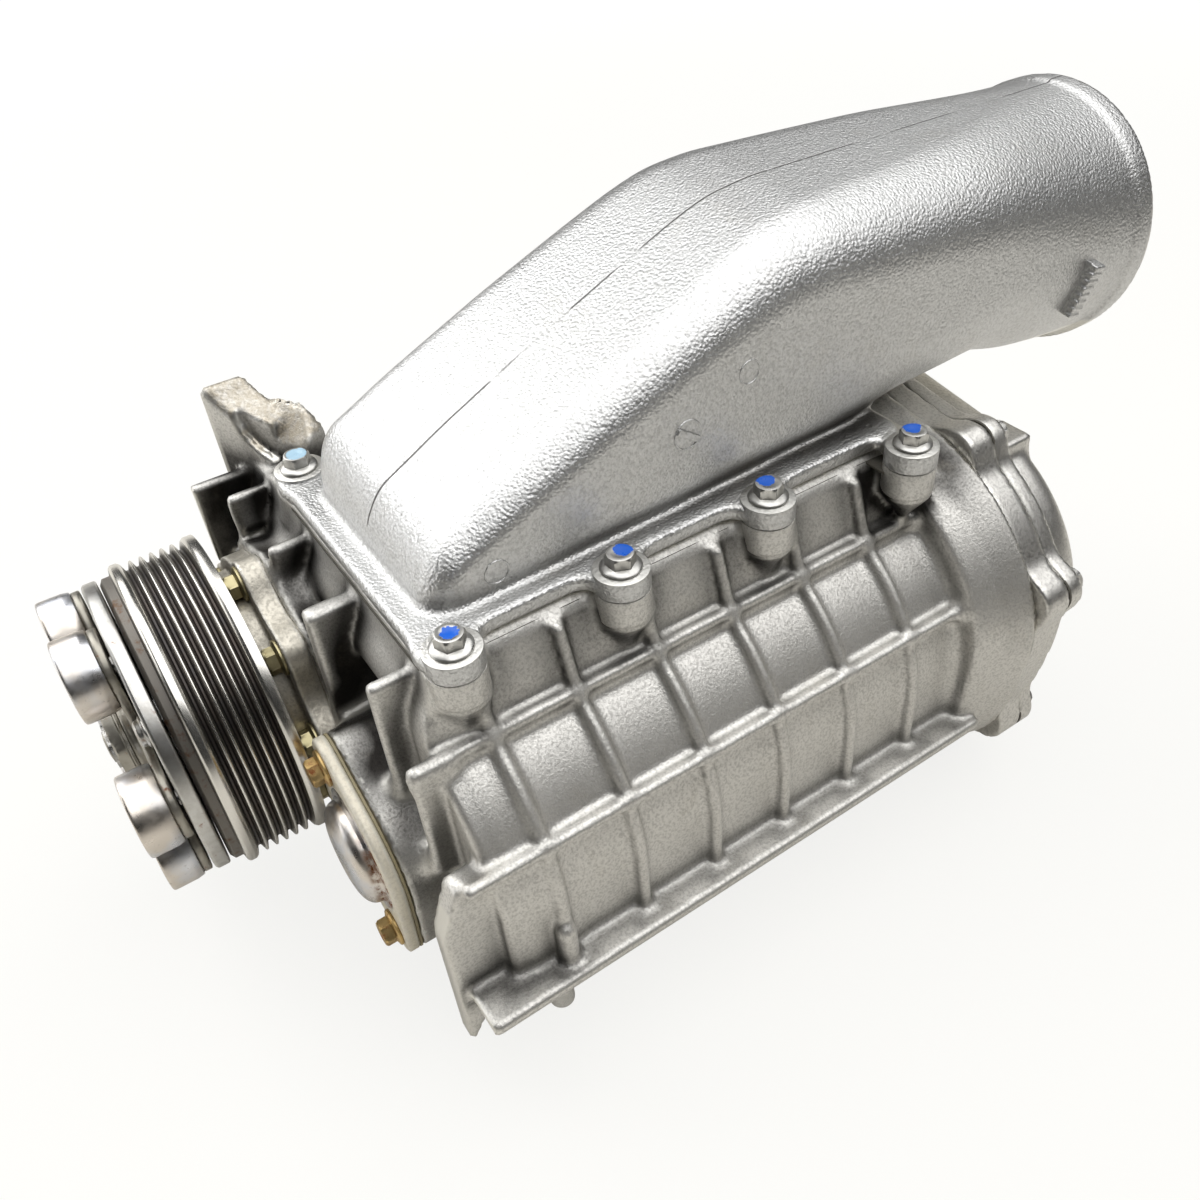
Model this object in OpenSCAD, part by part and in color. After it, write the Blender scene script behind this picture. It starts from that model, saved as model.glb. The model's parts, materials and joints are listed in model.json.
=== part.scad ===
// Twin-rotor supercharger with a clutch pulley, a ribbed housing and an inlet duct on top.
// Millimetres. +Z is up, +Y runs from the pulley to the rear cover, +X is the ribbed side.
// The origin is the middle of the outlet face that the housing stands on.

/* [Rotors] */
// Distance between the two rotor axes
axis_distance = 80; // [72:0.5:92]
// Lobes on each rotor
lobes = 4; // [3:1:5]
// Slope of the line between the two axes, drive side high, in degrees
axis_tilt = 10; // [0:0.5:12]
// Length of the rotor chamber
chamber_l = 192; // [150:1:220]
// Twist of each rotor over its length, in degrees
rotor_twist = 100; // [60:5:160]
// Running gap around each rotor
rotor_gap = 0.35; // [0.25:0.05:0.5]
// Diameter of the rotor shafts
shaft_d = 25; // [22:0.5:26]

/* [Housing] */
// Wall of the rotor chamber
wall = 5; // [4:0.5:7]
// Thickness of the front wall
front_wall = 12; // [10:0.5:16]
// Height of the top deck over the barrel of the drive rotor
deck_over = 3.7; // [3:0.1:10]
// Depth of the outlet neck under the barrel of the driven rotor
outlet_h = 15.7; // [14:0.1:24]
// Height of the ribs over the wall
rib_h = 5; // [3:0.5:7]
// Thickness of a rib
rib_t = 4; // [3:0.5:6]
// Distance between neighbouring cross ribs
rib_pitch = 28.4; // [24:0.2:30]
// Full width of the base flange
base_w = 212; // [206:1:230]
// Thickness of the base flange
base_t = 4.8; // [4:0.2:8]
// Height of the driven axis above the underside of the base flange
base_drop = 26; // [20:0.5:30]
// Outlet face, across the rotors
outlet_w = 112; // [108:1:120]
// Outlet face, along the rotors
outlet_l = 168; // [160:1:180]

/* [Inlet duct] */
// Offset of the duct from the middle of the housing
duct_x = 6.5; // [0:0.5:10]
// Distance across the duct bolts, side to side
duct_bolt_w = 111; // [106:0.5:116]
// Distance between neighbouring duct bolts
duct_bolt_pitch = 54; // [50:0.5:58]
// Thickness of the duct flange at the bolts
duct_flange_t = 9; // [7:0.5:12]
// Outside diameter of the round mouth
mouth_d = 96; // [88:1:104]
// Wall of the duct
duct_wall = 4; // [3:0.25:5]
// Height of the duct above its flange face
duct_h = 73; // [66:0.5:80]
// Distance from the front duct bolt to the mouth
mouth_y = 290; // [270:1:310]

/* [Clutch pulley] */
// Diameter over the pulley crests
crest_d = 110; // [104:0.5:114]
// Number of belt grooves
grooves = 6; // [5:1:7]
// Distance between neighbouring grooves
groove_pitch = 3.56; // [3.5:0.01:3.6]
// Depth of a groove
groove_depth = 2.6; // [2:0.1:3]
// Gap between the open clutch plate and the pulley
clutch_gap = 0.6; // [0.4:0.05:0.8]
// Outside diameter of a damper cup
cup_d = 28; // [24:0.5:30]
// Length of a damper cup
cup_l = 11; // [8:0.5:14]

/* [Fasteners] */
// Thread diameter of the flange bolts
bolt_d = 6; // [5:0.5:6.5]
// Width across flats of a flange bolt
bolt_af = 8; // [8:0.5:9]
// Length of the thread of a flange bolt
bolt_l = 22; // [18:1:26]
// Diameter of the outlet face threads
outlet_thread_d = 8; // [6:0.5:9]

/* [Hidden] */
$fn = 64;
hull_fn = 32;
fit = 0.02;
clear = 0.3;
gasket_t = 0.8;

// Bolt proportions that follow the thread
head_h = 0.62 * bolt_d;
washer_r = 0.78 * bolt_af;
washer_t = 1.6;

// Rotor and barrel radii, then the rotor axes in the X and Z plane
pitch_r = axis_distance / 2;
lobe_r = pitch_r / (2 * lobes);
tip_r = pitch_r + 2 * lobe_r;
bore_r = tip_r + rotor_gap;
barrel_r = bore_r + wall;
crest_rib_r = barrel_r + rib_h;
shaft_r = shaft_d / 2;
driven = [pitch_r * cos(axis_tilt), barrel_r + outlet_h];
drive = [-driven[0], driven[1] + axis_distance * sin(axis_tilt)];
axis_height = (drive[1] + driven[1]) / 2;
deck_h = drive[1] + barrel_r + deck_over;

// Stations along Y
front_y = -72;
rear_y = front_y + chamber_l;
wall_y = front_y - front_wall;
fin_y = wall_y - 8;
pad_y = wall_y - 10;
face_y = wall_y - 17;
flange_y = rear_y - 17;

// Bearings, seals and the gear train
bearing_w = 12;
bearing_r = 23.5;
seal_w = 4;
seal_r = 19;
hole_r = shaft_r + 0.7;
plate_t = 10;
plate_y = rear_y + gasket_t;
plate_lip = 1.5;
rear_seal_y = plate_y + plate_lip;
rear_bearing_y = rear_seal_y + seal_w + 0.5;
boss_end_y = rear_bearing_y + bearing_w;
gear_w = 8;
gear_y = boss_end_y + 0.6;
gear_teeth = 40;
gear_module = axis_distance / gear_teeth;
nut_t = 4.5;
gear_nut_af = 27;
cover_y = plate_y + plate_t + gasket_t;
cover_end_y = gear_y + gear_w + nut_t + 1;
cover_wall = 4;
gear_tip_r = pitch_r + 0.9 * gear_module;
rear_r = barrel_r + 12;
ear_r = 8;
ear_at = rear_r + 2;
cover_ears = [70, 21, -33, -62, 110, 159, 211, 242];

// Front bearing cover over the driven shaft
cover_plate_t = 4;
dome_r = 21;
dome_l = 7;
dome_y = face_y - gasket_t - cover_plate_t;

// Nose, coil and clutch
nose_t = 8;
nose_y = pad_y - nose_t;
nose_r = 43;
nose_bolt_r = 47;
nose_ear_r = 7;
nose_angles = [85, 45, 5, -45, -95, 205, 160];
connector_angle = -70;
tube_r = 20;
tube_bore = 13;
nose_shaft_r = 10;
bolt_head_y = nose_y - washer_t - head_h;
rim_over = 0.8;
// The pulley passes beside the dome, or runs in front of it where its rim is too large for that
beside_dome = crest_d / 2 + rim_over + dome_r + clear < axis_distance;
pulley_rear = min(bolt_head_y - 0.8, beside_dome ? 0 : dome_y - dome_l - clear);
rim_lip = 3.6;
groove_start = pulley_rear - rim_lip;
groove_end = groove_start - grooves * groove_pitch;
pulley_front = groove_end - 8;
crest_r = crest_d / 2;
rim_bore = crest_r - 9;
ball_r = 31;
ball_w = 24;
ball_y = pulley_front + 5;
ring_r = ball_r + 3.5;
coil_r = rim_bore - 1.5;
coil_bore = ring_r + 1;
coil_y = bolt_head_y - 0.4;
coil_step_r = nose_bolt_r - washer_r - 0.5;
web_y = pulley_front + 9;
tube_end = ball_y - 3;
armature_t = 5;
armature_r = crest_r - 2;
armature_bore = 24;
armature_y = pulley_front - clutch_gap;
hub_gap = 0.8;
hub_t = 3;
hub_y = armature_y - armature_t - hub_gap;
hub_r = 15;
cup_at = 39;
cup_wall = 2.6;
cup_half_angle = 24;
cup_angles = [for (a = [100, 220, 340]) for (s = [-1, 1]) a + s * cup_half_angle];
cup_y = hub_y - hub_t;
rivet_r = 3;
hub_end = cup_y - 3;
hub_nut_t = 7;
hub_nut_af = 24;
nose_seal_w = 6;

// Duct flange, in the housing's frame
duct_z = deck_h + gasket_t;
boss_z = duct_z + duct_flange_t;
duct_y0 = -70;
duct_bolt_y = [for (i = [0:2]) duct_y0 + i * duct_bolt_pitch];
last_bolt_y = duct_y0 + 3 * duct_bolt_pitch;
last_bolt_out = 6.5;
half_bolt_w = duct_bolt_w / 2;
duct_bolts_xy = concat(
    [for (s = [-1, 1]) for (y = duct_bolt_y) [duct_x + s * half_bolt_w, y]],
    [for (s = [-1, 1]) [duct_x + s * (half_bolt_w + last_bolt_out), last_bolt_y]]);
duct_boss_r = 8;
// Thread depth under the deck, short where the drive chamber lies close below
short_l = deck_over + wall - 1.5;
function deck_thread(p) = p[0] < duct_x ? short_l : bolt_l;
duct_half_w = 42.5;
port_half_w = 36;
port_y0 = duct_y0 + 14;
port_y1 = last_bolt_y - 10;
mouth_r = mouth_d / 2;

// Base flange and outlet
base_z = driven[1] - base_drop;
base_y0 = face_y + 3.5;
ledge_in = driven[0] + barrel_r - 15;
skirt_x = driven[0] + barrel_r - 0.6;
base_y1 = flange_y + 2;
outlet_port_w = 56;
outlet_port_l = 96;
outlet_hole_x = 46;
outlet_hole_y = 66;
dowel_r = 4;
dowel_l = 16;
dowel_shank_r = 3.4;
dowel_x = base_w / 2 - 5;
dowel_y = 73;

// Draws a flat X and Z outline from y0 to y1
module along_y(y0, y1) {
    translate([0, y1, 0])
        rotate([90, 0, 0])
            linear_extrude(y1 - y0)
                children();
}

// Round bar along Y at an X and Z place
module bar_y(p, r, y0, y1) {
    translate([p[0], y0, p[1]])
        rotate([-90, 0, 0])
            cylinder(r = r, h = y1 - y0);
}

// Ring along Y
module ring_y(p, r_out, r_in, y0, y1) {
    difference() {
        bar_y(p, r_out, y0, y1);
        bar_y(p, r_in, y0 - 1, y1 + 1);
    }
}

// Point at an angle around an axis in the X and Z plane
function around(p, r, a) = [p[0] + r * cos(a), p[1] + r * sin(a)];

// Hexagon flange bolt, head up, underside of its washer at the origin
module flange_bolt(length) {
    cylinder(r = washer_r, h = washer_t);
    cylinder(d = bolt_af / cos(30), h = washer_t + head_h, $fn = 6);
    translate([0, 0, -length])
        cylinder(d = bolt_d, h = length + washer_t / 2);
}

// Flange bolt that points along +Y, its washer seated at y
module bolt_y(p, y, length) {
    translate([p[0], y, p[1]])
        rotate([90, 0, 0])
            flange_bolt(length);
}

// Flange bolt that points along -Y, its washer seated at y
module bolt_back(p, y, length) {
    translate([p[0], y, p[1]])
        rotate([-90, 0, 0])
            flange_bolt(length);
}

// Outline of the two barrels side by side
module twin(r) {
    translate(drive)
        circle(r);
    translate(driven)
        circle(r);
}

// Filled outline of the two barrels with a straight waist
module twin_block(r) {
    twin(r);
    polygon([drive + [0, r], driven + [0, r], driven - [0, r], drive - [0, r]]);
}

// Outline of the deck that carries the duct, its sides moved out by grow
deck_half = half_bolt_w - 5;
shoulder_h = 20;
shoulder_out = 8;
ledge_x = -82;
module deck_outline(grow) {
    polygon([[duct_x - half_bolt_w - duct_boss_r, deck_h - grow / 4],
        [duct_x + deck_half + grow, deck_h - grow / 4],
        [duct_x + deck_half + shoulder_out + grow, deck_h - shoulder_h],
        driven, drive,
        [ledge_x - shoulder_out - grow, deck_h - shoulder_h],
        [ledge_x - grow, deck_h - 2 - grow / 4]]);
}

// Long rib that stands on a barrel at an angle
module long_rib(p, a, y0, y1) {
    along_y(y0, y1)
        translate(p)
            rotate(a)
                translate([barrel_r - 2, -rib_t / 2])
                    square([rib_h + 2, rib_t]);
}

// Upright walls beside the barrels, from the base flange to each axis
module skirts(grow) {
    for (p = [drive, driven])
        translate([p[0] > 0 ? ledge_in : -skirt_x - grow, base_z])
            square([skirt_x + grow - ledge_in, p[1] - base_z]);
}

rib_angles = [61, 25.5];
first_rib_y = -66;
cross_rib_r = crest_rib_r - 0.8;
cross_ribs = floor((flange_y - first_rib_y - rib_t) / rib_pitch);
module housing_ribs() {
    for (a = rib_angles) {
        long_rib(driven, a, fin_y, flange_y + 1);
        long_rib(drive, 180 - a, fin_y, flange_y + 1);
    }
    for (i = [0:cross_ribs]) {
        y = first_rib_y + i * rib_pitch;
        along_y(y - rib_t / 2, y + rib_t / 2) {
            translate(drive)
                circle(min(cross_rib_r, deck_h - drive[1] - 0.5));
            translate(driven)
                circle(cross_rib_r);
        }
        along_y(y - rib_t / 2, y + rib_t / 2) {
            deck_outline(rib_h - 1);
            skirts(cross_rib_r - barrel_r - 0.6);
        }
    }
}

// Front fins: place across, reach under the deck, thickness and length
fins = [[-81, 28, 4, 18], [-65, 30, 4, 8], [-27, 34, 4, 8], [11, 58, 8, 8], [51, 34, 4, 8]];
shoulder_fin = around(driven, barrel_r + rib_h - 1, rib_angles[0]);
module front_fins() {
    for (f = fins)
        translate([f[0] - f[2] / 2, wall_y - f[3], deck_h - 3 - f[1]])
            cube([f[2], f[3] + 1, f[1]]);
    translate([shoulder_fin[0] - rib_t / 2, fin_y, shoulder_fin[1] - 34])
        cube([rib_t, wall_y - fin_y + 1, 34]);
}

// Corner fin beside the front cover, with its point under the base flange
fin_x = barrel_r + driven[0] - 6;
fin_top = driven[1] + 25;
fin_point = 20;
module corner_fin(x) {
    translate([x + rib_t / 2, 0, 0])
        rotate([90, 0, -90])
            linear_extrude(rib_t)
                polygon([[-wall_y - 2, fin_top], [-face_y - 7, fin_top], [-face_y, driven[1] + 5],
                    [-face_y, fin_point], [-wall_y - 2, driven[1] - 17]]);
}

// Lug on the left shoulder with a hollowed top and a lower step beside it
lug_x = -76;
lug_w = 30;
lug_l = 34;
lug_top = deck_h + 26;
lug_step = 12;
saddle_r = 26;
module side_lug() {
    difference() {
        translate([lug_x - lug_w / 2, fin_y, drive[1] + 20])
            cube([lug_w, lug_l, lug_top - drive[1] - 20]);
        bar_y([lug_x + lug_w / 2 + 4, lug_top + 4], saddle_r, fin_y - 1, fin_y + lug_l + 1);
    }
    translate([lug_x - 2, fin_y + 9, drive[1] + 20])
        cube([20, lug_l - 11, deck_h + lug_step - drive[1] - 20]);
}

// Oval outline of the front bearing cover
cover_angle = 120;
cover_bolt_r = 29;
cover_bolts = [for (s = [0, 180]) around(driven, cover_bolt_r, cover_angle + s)];
module cover_outline() {
    hull() {
        translate(driven)
            circle(27, $fn = hull_fn * 2);
        for (p = cover_bolts)
            translate(p)
                circle(9.5, $fn = hull_fn);
    }
}

// Places of the nose bolts
nose_bolt_at = [for (a = nose_angles) around(drive, nose_bolt_r, a)];
connector_at = around(drive, nose_bolt_r, connector_angle);
module nose_outline() {
    translate(drive)
        circle(nose_r);
    for (p = concat(nose_bolt_at, [connector_at]))
        translate(p)
            circle(nose_ear_r);
}

// Places of the rear cover bolts
ears = [for (i = [0:len(cover_ears) - 1])
    around(cover_ears[i] < 90 ? driven : drive, ear_at, cover_ears[i])];
module rear_outline(r) {
    twin_block(r);
    for (p = ears)
        translate(p)
            circle(ear_r);
}

// Screws that hold the bearing plate to the housing, under the rear cover
screw_l = 12;
screw_head_r = 4.8;
screw_head_h = 6;
screw_angles = [45, -5, -48, 135, 185, 228];
plate_screw_at = [for (a = screw_angles) around(a < 90 ? driven : drive, barrel_r + 4.2, a)];

// Bearing, seal and shaft holes from the seat at y, step is +1 towards the rear
module shaft_seat(p, y, step) {
    b = step > 0 ? [y, y + bearing_w + 1] : [y - bearing_w - 1, y];
    s = step > 0 ? [y - seal_w - 0.5, y + 0.1] : [y - 0.1, y + seal_w + 0.5];
    bar_y(p, bearing_r, b[0], b[1]);
    bar_y(p, seal_r, s[0], s[1]);
}

drive_seat_y = pad_y + bearing_w + 0.5;
driven_seat_y = face_y + bearing_w + 0.5;

module rotor_housing() {
    color("#9fa0a1")
    difference() {
        union() {
            along_y(wall_y, rear_y)
                twin_block(barrel_r);
            along_y(wall_y, flange_y + 1) {
                deck_outline(0);
                skirts(0);
            }
            along_y(flange_y, rear_y)
                twin_block(rear_r);
            housing_ribs();
            front_fins();
            corner_fin(fin_x);
            side_lug();
            along_y(pad_y, front_y)
                nose_outline();
            along_y(face_y, wall_y + 1)
                cover_outline();
            translate([ledge_in, base_y0, base_z])
                cube([base_w / 2 - ledge_in, base_y1 - base_y0, base_t]);
            translate([-base_w / 2, wall_y, base_z])
                cube([base_w / 2 - ledge_in, base_y1 - wall_y, base_t]);
            translate([-outlet_w / 2, -outlet_l / 2, 0])
                cube([outlet_w, outlet_l, axis_height - barrel_r + 16]);
            for (p = duct_bolts_xy)
                translate([p[0], p[1], deck_h - bolt_l - 4])
                    cylinder(r1 = duct_boss_r - 2, r2 = duct_boss_r, h = bolt_l + 4);
        }
        along_y(front_y, rear_y + 1)
            twin(bore_r);
        duct_plate(deck_h, boss_z + duct_h, duct_boss_r + clear);
        translate([duct_x - port_half_w, port_y0, axis_height + 20])
            cube([2 * port_half_w, port_y1 - port_y0, deck_h]);
        translate([-outlet_port_w / 2, -outlet_port_l / 2, -1])
            cube([outlet_port_w, outlet_port_l, axis_height - 20]);
        for (p = [drive, driven])
            bar_y(p, hole_r, face_y - 1, front_y + 1);
        shaft_seat(drive, drive_seat_y, -1);
        shaft_seat(driven, driven_seat_y, -1);
        for (p = duct_bolts_xy)
            translate([p[0], p[1], deck_h - deck_thread(p)])
                cylinder(d = bolt_d + fit * 2, h = deck_thread(p) + 1);
        for (p = nose_bolt_at)
            bar_y(p, bolt_d / 2 + fit, pad_y - 1, pad_y + bolt_l - nose_t + 1);
        for (p = plate_screw_at)
            bar_y(p, bolt_d / 2 + fit, rear_y - screw_l, rear_y + 1);
        for (p = cover_bolts)
            bar_y(p, bolt_d / 2 + fit, face_y - 1, face_y + bolt_l - cover_plate_t + 1);
        for (x = [-outlet_hole_x, outlet_hole_x])
            for (y = [-outlet_hole_y, outlet_hole_y])
                translate([x, y, -1])
                    cylinder(d = outlet_thread_d, h = 15);
        for (s = [-1, 1])
            translate([s * dowel_x, -s * dowel_y, base_z - 1])
                cylinder(r = dowel_shank_r + fit, h = base_t + 2);
    }
}

module outlet_dowels() {
    color("#8a8a88")
    for (s = [-1, 1])
        translate([s * dowel_x, -s * dowel_y, base_z - dowel_l]) {
            cylinder(r = dowel_r, h = dowel_l);
            cylinder(r = dowel_shank_r, h = dowel_l + base_t);
        }
}

// Side lines of the duct by distance behind the front bolts: top, bottom, half width and squareness
bend_y = 128;
collar_l = 26;
collar_y = mouth_y - collar_l;
collar_step = 0.5;
mouth_top = duct_h - 1;
mouth_z = mouth_top - mouth_r;
tube_y = last_bolt_y - duct_y0 + 14;
function part_way(a, b, t) = a + (b - a) * t;
duct_tops = [[1, 0.12], [4, 0.2], [9, 0.25], [15, 0.29], [30, 0.4], [66, 0.63], [100, 0.83],
    [116, 0.92], [bend_y, 0.975], [bend_y + 16, 1], [collar_y, (mouth_top - collar_step) / duct_h]];
duct_floor = [[0, -5], [tube_y - 18, -5], [tube_y, 4], [part_way(tube_y, collar_y, 0.45), 0],
    [collar_y, mouth_z - mouth_r + collar_step]];
duct_sides = [[1, -7], [4, -3], [9, -0.6], [15, 0], [bend_y, 0],
    [collar_y, mouth_r - collar_step - duct_half_w]];
duct_square = [[0, 6], [bend_y, 5], [tube_y, 3.6], [collar_y, 2]];
roof_slope = [[0, 0.1], [bend_y, 0.1], [collar_y, 0]];
duct_y = concat([1, 4, 9, 15, 30, 48, 66, 83, 100, 116, bend_y, bend_y + 16],
    [for (i = [0:5]) part_way(tube_y, collar_y, i / 5)], [collar_y + 2]);
duct_n = 40;

function signed_pow(v, e) = sign(v) * pow(abs(v), e);
function duct_ring(y, w) =
    let (top = duct_h * lookup(y, duct_tops) - w,
        low = lookup(y, duct_floor) + w,
        half = duct_half_w + lookup(y, duct_sides) - w,
        lean = lookup(y, roof_slope),
        e = 2 / lookup(y, duct_square))
    [for (i = [0:duct_n - 1])
        let (a = 360 * i / duct_n,
            x = half * signed_pow(cos(a), e),
            up = signed_pow(sin(a), e))
        [x, y, (top + low) / 2 + (top - low) / 2 * up - lean * x * max(0, up)]];

// Closed skin through a list of rings
module loft(rings) {
    n = len(rings[0]);
    m = len(rings);
    points = [for (r = rings) each r];
    sides = [for (j = [0:m - 2]) for (i = [0:n - 1])
        let (a = j * n + i, b = j * n + (i + 1) % n)
        each [[a, b, b + n], [a, b + n, a + n]]];
    front = [for (i = [n - 1:-1:0]) i];
    back = [for (i = [0:n - 1]) (m - 1) * n + i];
    polyhedron(points, concat(sides, [front, back]), convexity = 6);
}

module duct_plate(z0, z1, r) {
    translate([duct_x - deck_half, duct_y0 - duct_boss_r, z0])
        cube([2 * deck_half, last_bolt_y - duct_y0 + 2 * duct_boss_r - 1, z1 - z0]);
    for (p = duct_bolts_xy) {
        translate([p[0], p[1], z0])
            cylinder(r = r, h = z1 - z0);
        translate([min(p[0], duct_x), p[1] - r, z0])
            cube([abs(p[0] - duct_x), 2 * r, z1 - z0]);
    }
}

plate_drop = 2.5;
bead_l = 5;
bead_h = 1.6;
module inlet_duct() {
    color("#c9c9c8")
    difference() {
        union() {
            duct_plate(duct_z, boss_z - plate_drop, duct_boss_r);
            for (p = duct_bolts_xy)
                translate([p[0], p[1], duct_z])
                    cylinder(r = duct_boss_r, h = duct_flange_t);
            translate([duct_x, duct_y0, boss_z]) {
                loft([for (y = duct_y) duct_ring(y, 0)]);
                bar_y([0, mouth_z], mouth_r, collar_y, mouth_y);
                bar_y([0, mouth_z], mouth_r + bead_h, mouth_y - bead_l, mouth_y);
            }
        }
        translate([duct_x, duct_y0, boss_z]) {
            loft([for (y = duct_y) if (y > 2 * duct_wall) duct_ring(y, duct_wall)]);
            bar_y([0, mouth_z], mouth_r - duct_wall, collar_y + 1, mouth_y + 1);
        }
        translate([duct_x - port_half_w, port_y0, duct_z - 1])
            cube([2 * port_half_w, port_y1 - port_y0, duct_flange_t + 8]);
        for (p = duct_bolts_xy)
            translate([p[0], p[1], duct_z - 1])
                cylinder(d = bolt_d + fit * 2, h = duct_flange_t + 30);
    }
}

module duct_gasket() {
    color("#3a3a3a")
    difference() {
        duct_plate(deck_h, duct_z, duct_boss_r);
        translate([duct_x - port_half_w, port_y0, deck_h - 1])
            cube([2 * port_half_w, port_y1 - port_y0, gasket_t + 2]);
        for (p = duct_bolts_xy)
            translate([p[0], p[1], deck_h - 1])
                cylinder(d = bolt_d + fit * 2, h = gasket_t + 2);
    }
}

module duct_bolts() {
    color("#b9b9b4")
    for (p = duct_bolts_xy)
        translate([p[0], p[1], boss_z])
            flange_bolt(deck_thread(p) + gasket_t + duct_flange_t - 1);
}

module front_nose() {
    color("#a09d96")
    difference() {
        union() {
            along_y(nose_y, pad_y)
                nose_outline();
            bar_y(drive, coil_step_r, coil_y, nose_y + 1);
            bar_y(drive, tube_r, tube_end, nose_y + 1);
        }
        bar_y(drive, tube_bore, tube_end - 1, pad_y + 1);
        bar_y(drive, tube_r - 2, nose_y + 2, pad_y + 1);
        for (p = nose_bolt_at)
            bar_y(p, bolt_d / 2 + fit, nose_y - 1, pad_y + 1);
        ring_y(drive, tube_r + 1, tube_r - 1.2, ball_y - 1.25 - 0.05, ball_y + 0.05);
    }
}

module nose_bolts() {
    color("#b3a468")
    for (p = nose_bolt_at)
        bolt_y(p, nose_y, bolt_l);
}

module front_cover_gasket() {
    color("#4a4a46")
    difference() {
        along_y(face_y - gasket_t, face_y)
            cover_outline();
        bar_y(driven, bearing_r, face_y - 2, face_y + 1);
        for (p = cover_bolts)
            bar_y(p, bolt_d / 2 + fit, face_y - 2, face_y + 1);
    }
}

module front_bearing_cover() {
    color("#b5b3ae")
    difference() {
        along_y(dome_y, face_y - gasket_t)
            cover_outline();
        bar_y(driven, dome_r + fit, dome_y - 1, face_y);
        for (p = cover_bolts)
            bar_y(p, bolt_d / 2 + fit, dome_y - 1, face_y);
    }
}

// Pressed cup with a domed end
module bearing_dome() {
    color("#d6d6d4")
    translate([driven[0], face_y - gasket_t, driven[1]])
        rotate([90, 0, 0])
            rotate_extrude()
                polygon([[0, dome_l + cover_plate_t - 1.5], [dome_r - 6, dome_l + cover_plate_t - 2.5],
                    [dome_r - 1.5, cover_plate_t + 3], [dome_r - 1.5, 0], [dome_r, 0],
                    [dome_r, cover_plate_t + 4], [dome_r - 5, dome_l + cover_plate_t - 1],
                    [0, dome_l + cover_plate_t]]);
}

module front_cover_bolts() {
    color("#b98b4a")
    for (p = cover_bolts)
        bolt_y(p, dome_y, bolt_l);
}

module rear_plate_gasket() {
    color("#4a4a46")
    difference() {
        along_y(rear_y, plate_y)
            twin_block(rear_r);
        along_y(rear_y - 1, plate_y + 1)
            twin(bore_r);
        for (p = plate_screw_at)
            bar_y(p, bolt_d / 2 + fit, rear_y - 1, plate_y + 1);
    }
}

module rear_bearing_plate() {
    color("#a9a9a9")
    difference() {
        union() {
            along_y(plate_y, plate_y + plate_t)
                rear_outline(rear_r);
            for (p = [drive, driven])
                bar_y(p, bearing_r + 5, plate_y, boss_end_y);
        }
        for (p = [drive, driven]) {
            bar_y(p, hole_r, plate_y - 1, boss_end_y);
            shaft_seat(p, rear_bearing_y, 1);
        }
        for (p = ears)
            bar_y(p, bolt_d / 2 + fit, plate_y - 1, plate_y + plate_t + 1);
        for (p = plate_screw_at) {
            bar_y(p, bolt_d / 2 + fit, plate_y - 1, plate_y + plate_t + 1);
            bar_y(p, screw_head_r + fit, plate_y + plate_t - screw_head_h - clear, plate_y + plate_t + 1);
        }
    }
}

module plate_screws() {
    color("#5b5b5c")
    for (p = plate_screw_at)
        difference() {
            union() {
                bar_y(p, bolt_d / 2, rear_y - screw_l + 1, plate_y + plate_t - clear);
                bar_y(p, screw_head_r, plate_y + plate_t - screw_head_h - clear, plate_y + plate_t - clear);
            }
            translate([p[0], plate_y + plate_t - clear - 3, p[1]])
                rotate([-90, 0, 0])
                    cylinder(d = 5 / cos(30), h = 4, $fn = 6);
        }
}

module rear_cover_gasket() {
    color("#4a4a46")
    difference() {
        along_y(plate_y + plate_t, cover_y)
            rear_outline(rear_r - 1);
        along_y(plate_y, cover_y + 1)
            twin_block(rear_r - cover_rim);
        for (p = ears)
            bar_y(p, bolt_d / 2 + fit, plate_y, cover_y + 1);
    }
}

cover_rim = 13;
cover_flange_t = 6;
cover_step = 6;
plug_at = around(driven, 30, 60);
plug_r = 8;
module rear_cover() {
    color("#acacac")
    difference() {
        union() {
            along_y(cover_y, cover_y + cover_flange_t)
                rear_outline(rear_r - 1);
            along_y(cover_y, cover_end_y - 2)
                twin_block(rear_r - cover_rim + cover_wall);
            along_y(cover_y, cover_end_y + cover_wall)
                twin_block(rear_r - cover_rim + cover_wall - cover_step);
        }
        along_y(cover_y - 1, cover_end_y - 6)
            twin_block(rear_r - cover_rim);
        along_y(cover_y, cover_end_y)
            twin_block(rear_r - cover_rim - cover_step);
        bar_y(plug_at, plug_r + fit, cover_end_y - 1, cover_end_y + cover_wall + 1);
        for (p = ears)
            bar_y(p, bolt_d / 2 + fit, cover_y - 1, cover_y + cover_flange_t + 1);
    }
}

module rear_cover_bolts() {
    color("#b0b0ac")
    for (p = ears)
        bolt_back(p, cover_y + cover_flange_t, cover_flange_t + gasket_t + plate_t - 0.5);
}

module oil_plug() {
    color("#8f8f8c")
    translate([plug_at[0], cover_end_y + 0.5, plug_at[1]])
        rotate([-90, 0, 0]) {
            cylinder(r = plug_r, h = cover_wall - 0.5);
            translate([0, 0, cover_wall - 0.5])
                cylinder(r = plug_r + 3, h = 2);
            translate([0, 0, cover_wall + 1.5])
                cylinder(d = 17 / cos(30), h = 5, $fn = 6);
        }
}

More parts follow.
